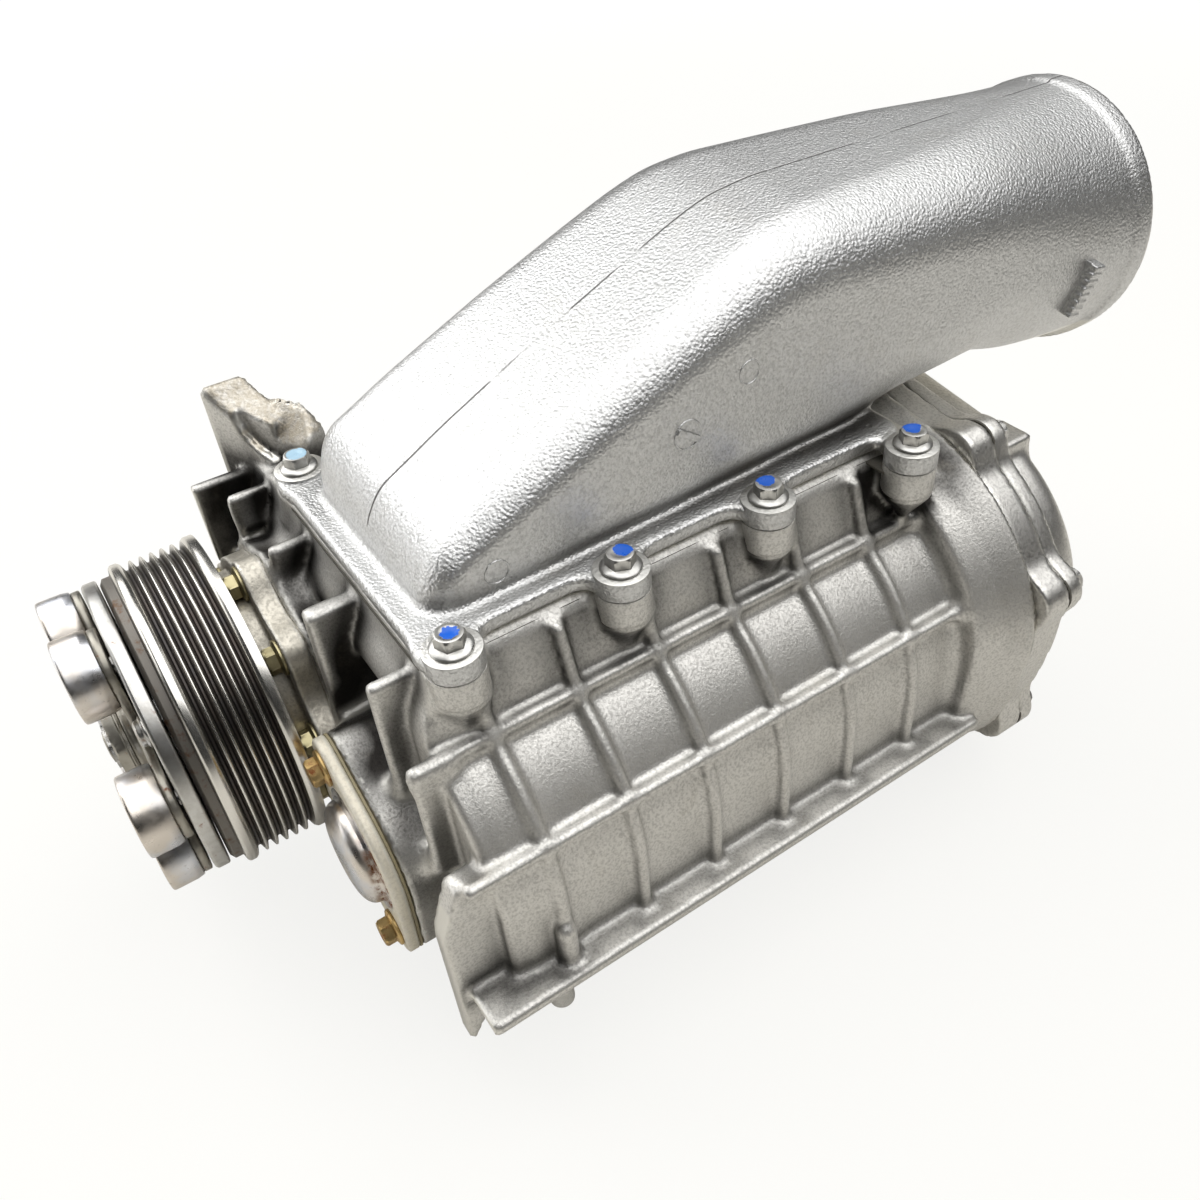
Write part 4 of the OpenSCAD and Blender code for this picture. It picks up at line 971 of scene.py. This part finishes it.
def hub_field(p):
    """Hub: a barrel on a spider whose arms reach each damper cup, with holes for the shaft and rivets."""
    x, y, z = p
    back = span("damper_cups", 1)[1]
    cups = ring_places(DRIVE, CUP_CIRCLE_R, CUP_ANGLES)
    ring = off(x, z, DRIVE)
    arms = lowest(two_rounds(x, z, DRIVE, HUB_ARM_R, e, HUB_CUP_R) for e in cups)
    plan = fillet(ring - HUB_PLATE_R, arms, 5.0)
    d = trim(plan, slab(y, back, back + 3), 0.7)
    d = fillet(d, trim(ring - HUB_R, slab(y, *span("clutch_hub", 1)), 1.0), 1.5)
    d = cut(d, lowest(off(x, z, e) - RIVET_HOLE_R for e in cups), 0.4)
    return cut(d, ring - SHAFT_HOLE_R, 0.4)


# Operators: one for each piece or group of like pieces


class SuperchargerPiece:
    """Common part of the operators."""
    bl_options = {"REGISTER", "UNDO"}

    def execute(self, context):
        """Builds the pieces with the scene's colours."""
        self.build(colours())
        return {"FINISHED"}


class HousingOperator(SuperchargerPiece, bpy.types.Operator):
    """Ribbed rotor housing, skinned from its distance field, and the turned bosses under the duct's bolts"""
    bl_idname = "supercharger.rotor_housing"
    bl_label = "Rotor housing"

    def build(self, c):
        material = cast_aluminium("sand_blasted_cast_aluminium", c.casting, c.casting_shade_and_speck,
                                  mm("housing_grain"), 0.16, 0.5)
        make_casting("rotor_housing_casting", housing_field, "rotor_housing", mm("housing_step"), material,
                     housing_milled, housing_raw, housing_soil_and_shade)
        boss = turned([(0, 0), (EAR_R, 0), (EAR_R, 9.0), (7.6, 11.0), (0, 11.0)], n=64, r=0.4)
        make_piece("deck_bolt_bosses", placed(boss, [stand(x, y, DECK_TOP, "+Z") for x, y in DUCT_BOLTS]),
                   material, "housing", (), None, RIM_CREASE)


class DuctOperator(SuperchargerPiece, bpy.types.Operator):
    """Inlet duct with its flange, mouth and rim, skinned from its distance field, and its marks and ears"""
    bl_idname = "supercharger.inlet_duct"
    bl_label = "Inlet duct"
    slotted = (49.0, 18.0, 177.4)
    comb = (52.4, 187.4, 171.9)
    rings = (((49.0, 40.7, 189.5), 1.0), ((49.0, -48.1, 159.9), 1.0), ((43.7, 68.2, 154.2), 0.9),
             (slotted, 1.25))

    def marks(self):
        """Raised rings, a slot's bar across one of them and a toothed bar, seated on the duct's surface."""
        ring = turned([(3.5, -0.28), (3.9, -0.28), (4.2, 0.5), (3.2, 0.5)], n=48, r=0.1)
        shapes = [placed(ring, [on_skin(duct_field, at, 0, size)]) for at, size in self.rings]
        bar = skin(lambda p: block(p, (-4.6, -1.0, -1.1), (4.6, 0.6, 1.1), 0.4), (-5, -2, -2), (5, 1, 2), 0.4)
        teeth = skin(lambda p: block(p, (-10, -3.4, -2.6), (10, 1.5, 2.6), 0.5)
                     + 0.25 * np.cos(p[0] * 2.4) * (p[1] < -1), (-11, -5, -4), (11, 2, 4), 0.45)
        for shape, at, turn in ((bar, self.slotted, 35), (teeth, self.comb, 101)):
            shapes.append(placed(shape[:2], [on_skin(duct_field, at, turn)]))
        return joined(*shapes)

    def build(self, c):
        material = cast_aluminium("coarse_sand_cast_aluminium", c.duct, c.duct_shade_and_speck, mm("duct_grain"), 0.2,
                                  0.42, 0.3, True, DUCT_X)
        make_casting("inlet_duct_casting", duct_field, "inlet_duct", mm("duct_step"), material,
                     duct_milled)
        make_piece("duct_casting_marks", self.marks(), material, "housing", (), None, RIM_CREASE)
        ear = turned([(0, 0), (EAR_R, 0), (EAR_R, EAR_T), (0, EAR_T)], n=64, r=0.4)
        v, q = placed(ear, [stand(x, y, BOSS_Z, "+Z") for x, y in DUCT_BOLTS])
        make_piece("duct_bolt_ears", (v, q), material, "housing", (),
                   {"milled": 0.6 * (v[:, 2] > BOSS_Z - 0.2)}, RIM_CREASE)


class RearOperator(SuperchargerPiece, bpy.types.Operator):
    """Rear bearing plate and gear cover, skinned from their distance fields"""
    bl_idname = "supercharger.rear_castings"
    bl_label = "Rear castings"

    def build(self, c):
        material = cast_aluminium("satin_die_cast_aluminium", c.casting, c.casting_shade_and_speck, 1.0, 0.08, 0.4, 0.4)
        for name, node, field in (("rear_plate_casting", "rear_bearing_plate", plate_field),
                                  ("rear_cover_casting", "rear_cover", cover_field)):
            make_casting(name, field, node, mm("small_step") * 1.3, material)


class NoseOperator(SuperchargerPiece, bpy.types.Operator):
    """Nose casting behind the pulley"""
    bl_idname = "supercharger.front_nose"
    bl_label = "Front nose"

    def build(self, c):
        # The second colour is the painted shade in corners and pockets, and the grain's dark specks.
        material = cast_aluminium("oily_cast_aluminium", linear("#c6c1b5"), linear("#4a4742"), 1.4, 0.16, 0.5)
        make_casting("front_nose_casting", nose_field, "front_nose", mm("small_step"), material)


class DuctBoltsOperator(SuperchargerPiece, bpy.types.Operator):
    """Flange bolts of the inlet duct, with check paint on their heads: blue, and faded on the first"""
    bl_idname = "supercharger.duct_bolts"
    bl_label = "Duct bolts"
    # Where each dab lies off its bolt's axis, which bolt has the faded one and which the small one
    dabs = ((0.2, 0.2), (0.6, 1.6), (-0.6, 1.9), (1.3, 0.2), (0.2, 0.1), (-0.7, 1.8), (-1.9, 0.2),
            (-1.7, 0.5))
    faded, small = 0, 4

    def build(self, c):
        shape = bolt(BOSS_Z - DECK_Z + 10)
        shapes, marks = [], {"paint": [], "pale": []}
        for i, ((x, y), (dx, dy)) in enumerate(zip(DUCT_BOLTS, self.dabs)):
            v, q = placed(shape, [stand(x, y, BOSS_Z, "+Z", 17 * i)])
            spot = off(v[:, 0], v[:, 1], (x + dx, y + dy)) - (2.6 if i == self.small else 3.0)
            spot = np.clip(0.5 - spot / 1.6, 0, 1) * (v[:, 2] > BOSS_Z + 3)
            marks["paint"].append(spot * (i != self.faded))
            marks["pale"].append(np.clip(spot * 3, 0, 1) * (i == self.faded))
            shapes.append((v, q))
        make_piece("duct_flange_bolts", joined(*shapes), painted_steel("zinc_plated_steel_with_check_paint"),
                   "housing", ("duct_bolts",),
                   {key: np.concatenate(values) for key, values in marks.items()}, HEAD_CREASE)


class FrontCoverOperator(SuperchargerPiece, bpy.types.Operator):
    """Front bearing cover, its pressed dome and rusty bolts"""
    bl_idname = "supercharger.front_cover"
    bl_label = "Front cover"

    def build(self, c):
        low, deep = span("front_bearing_cover", 1)
        # The second colour is the painted shade in corners and pockets, and the grain's dark specks.
        material = cast_aluminium("milled_aluminium_plate", linear("#ece5d2"), linear("#a39b89"), 1.2, 0.05,
                                  0.5, 0.6, metal=0.25)
        make_casting("front_cover_plate", front_cover_field, "front_bearing_cover", 0.9, material)
        face = low - 7.0
        dome = [(DOME_R * math.sin(a) ** 0.62, face + (low - 0.5 - face) * (1 - math.cos(a) ** 0.72))
                for a in np.linspace(0, np.pi / 2, 26)[1:]]
        rim = DOME_HOLE_R
        edge = [(18.4, low - 0.1), (rim - 0.3, low - 0.1), (rim, low + 0.2), (rim, deep)]
        back = [(rim - 1.5, deep), (rim - 1.5, low + 0.9), (14, face + 2.5), (0, face + 1.6)]
        v, q = turned([(0, face)] + dome + edge + back, DRIVEN, 96, 0)
        stain = np.clip((v[:, 0] - DRIVEN[0] - 8) / 7, 0, 1) * np.clip((v[:, 1] - face - 3.5) / 2, 0, 1)
        make_piece("front_dome", (v, q), polished_steel("pressed_bright_steel", True), "housing",
                   ("bearing_dome",), {"stain": stain})
        rusty = plated_steel("rusted_yellow_zinc_steel", linear("#cbb07a"), linear("#a8813f"), 0.4, 0.42)
        make_bolts("front_cover_flange_bolts", "front_cover_bolts", cover_bolts(), low, "-Y", (20, 20), rusty)


class NoseBoltsOperator(SuperchargerPiece, bpy.types.Operator):
    """Yellow-zinc bolts of the nose, and the bright bolts and oil plug of the rear cover"""
    bl_idname = "supercharger.ring_bolts"
    bl_label = "Nose and rear bolts"

    def build(self, c):
        yellow = plated_steel("yellow_zinc_steel", c.yellow, linear("#c9bd92"), 0.4, 0.05)
        make_bolts("nose_flange_bolts", "nose_bolts", ring_places(DRIVE, NOSE_BOLT_R, NOSE_ANGLES), NOSE_Y,
                   "-Y", range(0, 360, 31), yellow)
        bright = plated_steel("zinc_plated_steel", c.steel, linear("#8f8d88"), 0.36)
        make_bolts("rear_flange_bolts", "rear_cover_bolts", rear_ears(), REAR_SEAT_Y, "+Y", range(0, 360, 23),
                   bright)
        low, high = box_mm("oil_plug")
        x, _, z = (low + high) / 2
        flats, shank, seat, end = 17.0, 8, high[1] - COVER_END_Y, high[1] - low[1]
        head, skirt = hex_head(flats, 0, seat, 11.0, 2.0)
        shape = hexed(head + skirt + [(shank, seat), (shank, end), (0, end)], len(head) - 1, flats, 72)
        make_piece("oil_filler_plug", placed(shape, [stand(x, high[1], z, "+Y")]), bright, "housing",
                   ("oil_plug",), None, HEAD_CREASE)


class PulleyOperator(SuperchargerPiece, bpy.types.Operator):
    """Grooved clutch pulley: a ring profile carried round the drive axis"""
    bl_idname = "supercharger.clutch_pulley"
    bl_label = "Clutch pulley"
    count, pitch, crest, root, rim = 6, 3.56, 55.0, 52.2, 55.8

    def build(self, c):
        front, rear = span("clutch_pulley", 1)
        first = rear - 3.6 - self.count * self.pitch
        flank, floor = self.pitch / 2 - 0.32, 0.45
        profile = [(50.6, front), (52.6, front + 1.3), (52.6, front + 3.9), (54.9, front + 4.4),
                   (self.rim, front + 5.2), (self.rim, first - 0.7)]
        for i in range(self.count):
            mid = first + (i + 0.5) * self.pitch
            profile += [(self.crest, mid - flank), (self.root, mid - floor), (self.root, mid + floor),
                        (self.crest, mid + flank)]
        profile += [(self.rim, rear - 2.9), (self.rim, rear), (46, rear), (46, front + 9), (34.5, front + 9),
                    (34.5, rear - 3.96), (31, rear - 3.96), (31, front + 4.7), (29, front + 4.7), (29, front)]
        v, q = turned(profile, DRIVE, 180, 0.28)
        r = off(v[:, 0], v[:, 2], DRIVE)
        marks = {"crest": np.clip((r - self.root - 2.2) / 0.5, 0, 1),
                 "rim": ((v[:, 1] < front + 4.2) & (r < 53)).astype(float)}
        make_piece("grooved_pulley", (v, q), worn_pulley("worn_turned_steel"), "pulley", ("clutch_pulley",),
                   marks, RIM_CREASE)


class ClutchOperator(SuperchargerPiece, bpy.types.Operator):
    """Armature, its studs, the hub with damper cups and the hub nut"""
    bl_idname = "supercharger.clutch_plate"
    bl_label = "Clutch plate"

    def build(self, c):
        zinc = plated_steel("zinc_plated_pressed_steel", c.steel, linear("#8c857a"), 0.33, 0.12)
        front, rear = span("armature_plate", 1)
        ring = turned([(52.2, front), (53, front + 0.8), (53, rear - 0.5), (52.5, rear), (24, rear),
                       (24, front)], DRIVE, 128, 0.35)
        make_piece("armature_ring", ring, zinc, "armature", ("armature_plate",), None, RIM_CREASE)
        stud = turned([(0, -3.4), (3.2, -3.4), (4.4, -2.6), (4.6, -1.2), (5.4, -1.0), (5.6, 0), (0, 0)], n=40)
        studs = [stand(x, front - 0.02, z, "-Y") for x, z in ring_places(DRIVE, STUD_CIRCLE_R, STUD_ANGLES)]
        make_piece("armature_studs", placed(stud, studs), zinc, "armature", (), None, RIM_CREASE)
        f, b = span("damper_cups", 1)
        cup = turned([(12.1, f + 0.2), (12.9, f), (13.8, f + 0.3), (14, f + 1.1), (14, b - 2.4), (13.5, b),
                      (11.4, b), (11.4, f + 1.2)], n=72, r=0.4)
        cups = [stand(x, 0, z, "-Y") for x, z in ring_places(DRIVE, CUP_CIRCLE_R, CUP_ANGLES)]
        make_piece("damper_cup_shells", placed(cup, cups), polished_steel("polished_drawn_steel"), "drive",
                   ("damper_cups",), None, RIM_CREASE)
        steel = plated_steel("oiled_forged_steel", linear("#a6a298"), linear("#6f6a60"), 0.42, 0.1)
        make_piece("hub_spider", skin(hub_field, *box_mm("clutch_hub"), 0.9)[:2], steel, "drive",
                   ("clutch_hub",))
        make_piece("hub_hex_nut", self.nut(*span("hub_nut", 1)), steel, "drive", ("hub_nut",),
                   None, HEAD_CREASE)

    def nut(self, f, b):
        """Hub nut from its front f to its back b: the small hexagon of the shaft's end on a larger one with a
        washer. Each level of the profile has its own flats."""
        small, large, round_level = 11.0, 24.0, 99.0
        head, skirt = hex_head(large, f + 1.6, b, 14.2, 1.8)
        end = [(0, f - 0.4), (3.6, f - 0.4), (5.6, f), (5.7, f + 1.6)]
        profile = end + head[3:] + skirt + [(SHAFT_HOLE_R, b), (SHAFT_HOLE_R, f + 3), (0, f + 3)]
        levels = [small] * 3 + [large] * (len(head) - 4) + [round_level] * (len(profile) - len(head) - 1)
        flats = np.array(levels)[:, None]
        return turned(profile, DRIVE, 72, 0, lambda r, a: np.minimum(r, hexagon(a, flats)))


class InnerOperator(SuperchargerPiece, bpy.types.Operator):
    """Finishes of the solids that keep their own shape, such as rotors and gaskets, and the dowel pins"""
    bl_idname = "supercharger.inner_pieces"
    bl_label = "Inner pieces"

    def build(self, c):
        rubber = moulded("black_rubber", c.rubber, 0.62)
        sealant = moulded("beige_sealant", linear("#9d9272"), 0.6)
        fibre = moulded("dark_fibre_gasket", linear("#55524a"), 0.7)
        ground = plated_steel("ground_steel", linear("#bdbcb8"), linear("#8d8b86"), 0.25)
        rotor = cast_aluminium("coated_extruded_aluminium", linear("#8c8d90"), linear("#6c6d70"), 0.9, 0.04,
                               0.35)
        paired = [f"{side}_{part}" for part in ("shaft", "gear", "gear_nut", "front_bearing", "rear_bearing")
                  for side in ("drive", "driven")]
        finishes = {
            rubber: ("rotor_seals", "nose_seal", "damper_rubbers", "coil_connector"),
            sealant: ("front_cover_gasket",),
            fibre: ("duct_gasket", "rear_plate_gasket", "rear_cover_gasket", "clutch_coil"),
            rotor: ("drive_rotor", "driven_rotor"),
            ground: (*paired, "pulley_bearing", "bearing_circlip", "plate_screws", "armature_rivets"),
        }
        for material, names in finishes.items():
            for name in names:
                piece = frame["nodes"][name]
                if not piece.material_slots:
                    piece.data.materials.append(material)
                for place in piece.material_slots:
                    place.material = material
        shown, sunk = 9, 1
        pin = turned([(0, 0), (3.2, 0), (4, 0.9), (4, shown + sunk), (0, shown + sunk)], n=40, r=0.25)
        pins = [stand(x, y, BASE_Z - shown, "+Z") for x, y in DOWELS]
        for m in pins:
            m[:3, :3] = m[:3, :3] @ np.diag([-1, -1, 1])
        make_piece("base_dowel_pins", placed(pin, pins), ground, "housing", ("outlet_dowels",),
                   None, RIM_CREASE)


def set_pose(item, x, y, z, at):
    """Links a lamp or camera into the scene, at a place in metres and along three unit axes."""
    thing = bpy.data.objects.new(item.name, item)
    thing.matrix_world = Matrix(np.vstack([np.c_[x, y, z, at], (0, 0, 0, 1)]).tolist())
    bpy.context.scene.collection.objects.link(thing)
    return thing


def unit(v):
    """Vector of length one."""
    return v / np.linalg.norm(v)


class StageOperator(SuperchargerPiece, bpy.types.Operator):
    """Pale floor, soft lamps, white surroundings and the camera"""
    bl_idname = "supercharger.stage"
    bl_label = "Stage"
    # Half width and height of the floor, in metres
    floor_half, floor_z = 6, -0.0004
    # Place and edge in metres, and power in watts
    lamps = (("top_lamp", (0.15, 0.35, 1.7), 2.6, 46), ("key_lamp", (-1.1, -0.6, 1.1), 1.2, 14),
             ("front_lamp", (-0.75, -1.3, 0.4), 0.8, 4))
    lamps_aim = (0.0, 0.0, 0.1)
    bright_side = (-0.6, 0.3, 0.74)
    # The photograph's camera: focal length and width in pixels, azimuth, elevation and roll in degrees, and
    # how far back, right and up it stands from a point on the duct's front, in millimetres
    focal_px, photo_px, sensor_mm = 1048.73, 1200, 36.0
    angles, stands, aim = (59.95, 40.22, -5.36), (312.29, 69.65, -16.11), (6.35, -70, 154)

    def build(self, c):
        bpy.context.scene.view_settings.view_transform = "Standard"
        self.lay_floor(c)
        self.surround()
        for name, at, size, power in self.lamps:
            lamp = bpy.data.lights.new(name, "AREA")
            lamp.shape = "SQUARE"
            lamp.size = size
            lamp.energy = power
            z = unit(np.subtract(at, self.lamps_aim))
            x = unit(np.cross((0, 1, 0), z))
            set_pose(lamp, x, np.cross(z, x), z, at)
        self.set_camera()

    def lay_floor(self, c):
        """Matt paper that the camera sees almost white near the part and white far from it."""
        h, z = self.floor_half, self.floor_z
        mesh = bpy.data.meshes.new("floor")
        mesh.from_pydata([(-h, -h, z), (h, -h, z), (h, h, z), (-h, h, z)], [], [(0, 1, 2, 3)])
        floor = bpy.data.objects.new("floor", mesh)
        bpy.context.scene.collection.objects.link(floor)
        material, shader, place = new_material("matt_paper", Metallic=0.0, Roughness=0.85)
        shader.inputs["Base Color"].default_value = c.floor_shade
        tree = material.node_tree
        lift = add(tree, "ShaderNodeEmission", {"Color": c.floor, "Strength": 1.06})
        away = add(tree, "ShaderNodeVectorMath", {0: place}, operation="LENGTH").outputs["Value"]
        direct = add(tree, "ShaderNodeLightPath").outputs["Is Camera Ray"]
        seen = times(direct, ramp(away, 0.5, 1.8, 0.8, 1.0))
        paper = add(tree, "ShaderNodeMixShader", {0: seen, 1: shader.outputs[0], 2: lift.outputs[0]})
        wire(tree.nodes["Material Output"], Surface=paper.outputs[0])
        mesh.materials.append(material)

    def surround(self):
        """White room: plain white to the camera, and brighter from one side in reflections."""
        world = bpy.data.worlds.new("white_room")
        bpy.context.scene.world = world
        world.use_nodes = True
        tree = world.node_tree
        soft = tree.nodes["Background"]
        way = add(tree, "ShaderNodeTexCoord").outputs["Generated"]
        side = add(tree, "ShaderNodeVectorMath", {0: way, 1: self.bright_side}, operation="DOT_PRODUCT")
        wire(soft, Strength=ramp(side.outputs["Value"], -0.7, 0.4, 0.32, 1.05))
        white = add(tree, "ShaderNodeBackground", {"Color": (1, 1, 1, 1), "Strength": 1.0})
        path = add(tree, "ShaderNodeLightPath").outputs
        direct = reckon("MAXIMUM", path["Is Camera Ray"], path["Is Transmission Ray"])
        mix = add(tree, "ShaderNodeMixShader", {0: direct, 1: soft.outputs[0], 2: white.outputs[0]})
        wire(tree.nodes["World Output"], Surface=mix.outputs[0])

    def set_camera(self):
        """Camera where the photograph was taken from."""
        camera = bpy.data.cameras.new("camera")
        camera.sensor_width = self.sensor_mm
        camera.lens = self.focal_px / self.photo_px * self.sensor_mm
        camera.clip_start = 0.01
        a, e, r = (math.radians(v) for v in self.angles)
        back = np.array([math.sin(a) * math.cos(e), -math.cos(a) * math.cos(e), math.sin(e)])
        right = np.array([math.cos(a), math.sin(a), 0])
        up = np.cross(back, right)
        side, top = math.cos(r) * right + math.sin(r) * up, -math.sin(r) * right + math.cos(r) * up
        at = np.array(self.stands) @ np.array([back, side, top]) + self.aim
        bpy.context.scene.camera = set_pose(camera, side, top, back, at * MM)


PIECES = (HousingOperator, DuctOperator, RearOperator, NoseOperator, DuctBoltsOperator, FrontCoverOperator,
          NoseBoltsOperator, PulleyOperator, ClutchOperator, InnerOperator, StageOperator)


class SuperchargerPanel(bpy.types.Panel):
    """Sizes, colours and builders of the supercharger"""
    bl_idname = "VIEW3D_PT_supercharger"
    bl_label = "Supercharger"
    bl_space_type = "VIEW_3D"
    bl_region_type = "UI"
    bl_category = "Supercharger"

    def draw(self, context):
        """Lists the properties and the operators."""
        for group in (context.scene.supercharger_sizes, context.scene.supercharger_colours):
            box = self.layout.box()
            for key in group.bl_rna.properties.keys():
                if key not in ("rna_type", "name"):
                    box.prop(group, key)
        for piece in PIECES:
            self.layout.operator(piece.bl_idname)


CLASSES = (SuperchargerSizes, SuperchargerColours, *PIECES, SuperchargerPanel)


def register():
    """Registers the classes and adds the properties to the scene."""
    for item in CLASSES:
        bpy.utils.register_class(item)
    bpy.types.Scene.supercharger_sizes = bpy.props.PointerProperty(type=SuperchargerSizes)
    bpy.types.Scene.supercharger_colours = bpy.props.PointerProperty(type=SuperchargerColours)


def unregister():
    """Takes the properties and the classes away again."""
    del bpy.types.Scene.supercharger_colours
    del bpy.types.Scene.supercharger_sizes
    for item in reversed(CLASSES):
        bpy.utils.unregister_class(item)


def main():
    """Builds everything in order."""
    register()
    for piece in PIECES:
        group, name = piece.bl_idname.split(".")
        getattr(getattr(bpy.ops, group), name)()


if __name__ == "__main__":
    main()
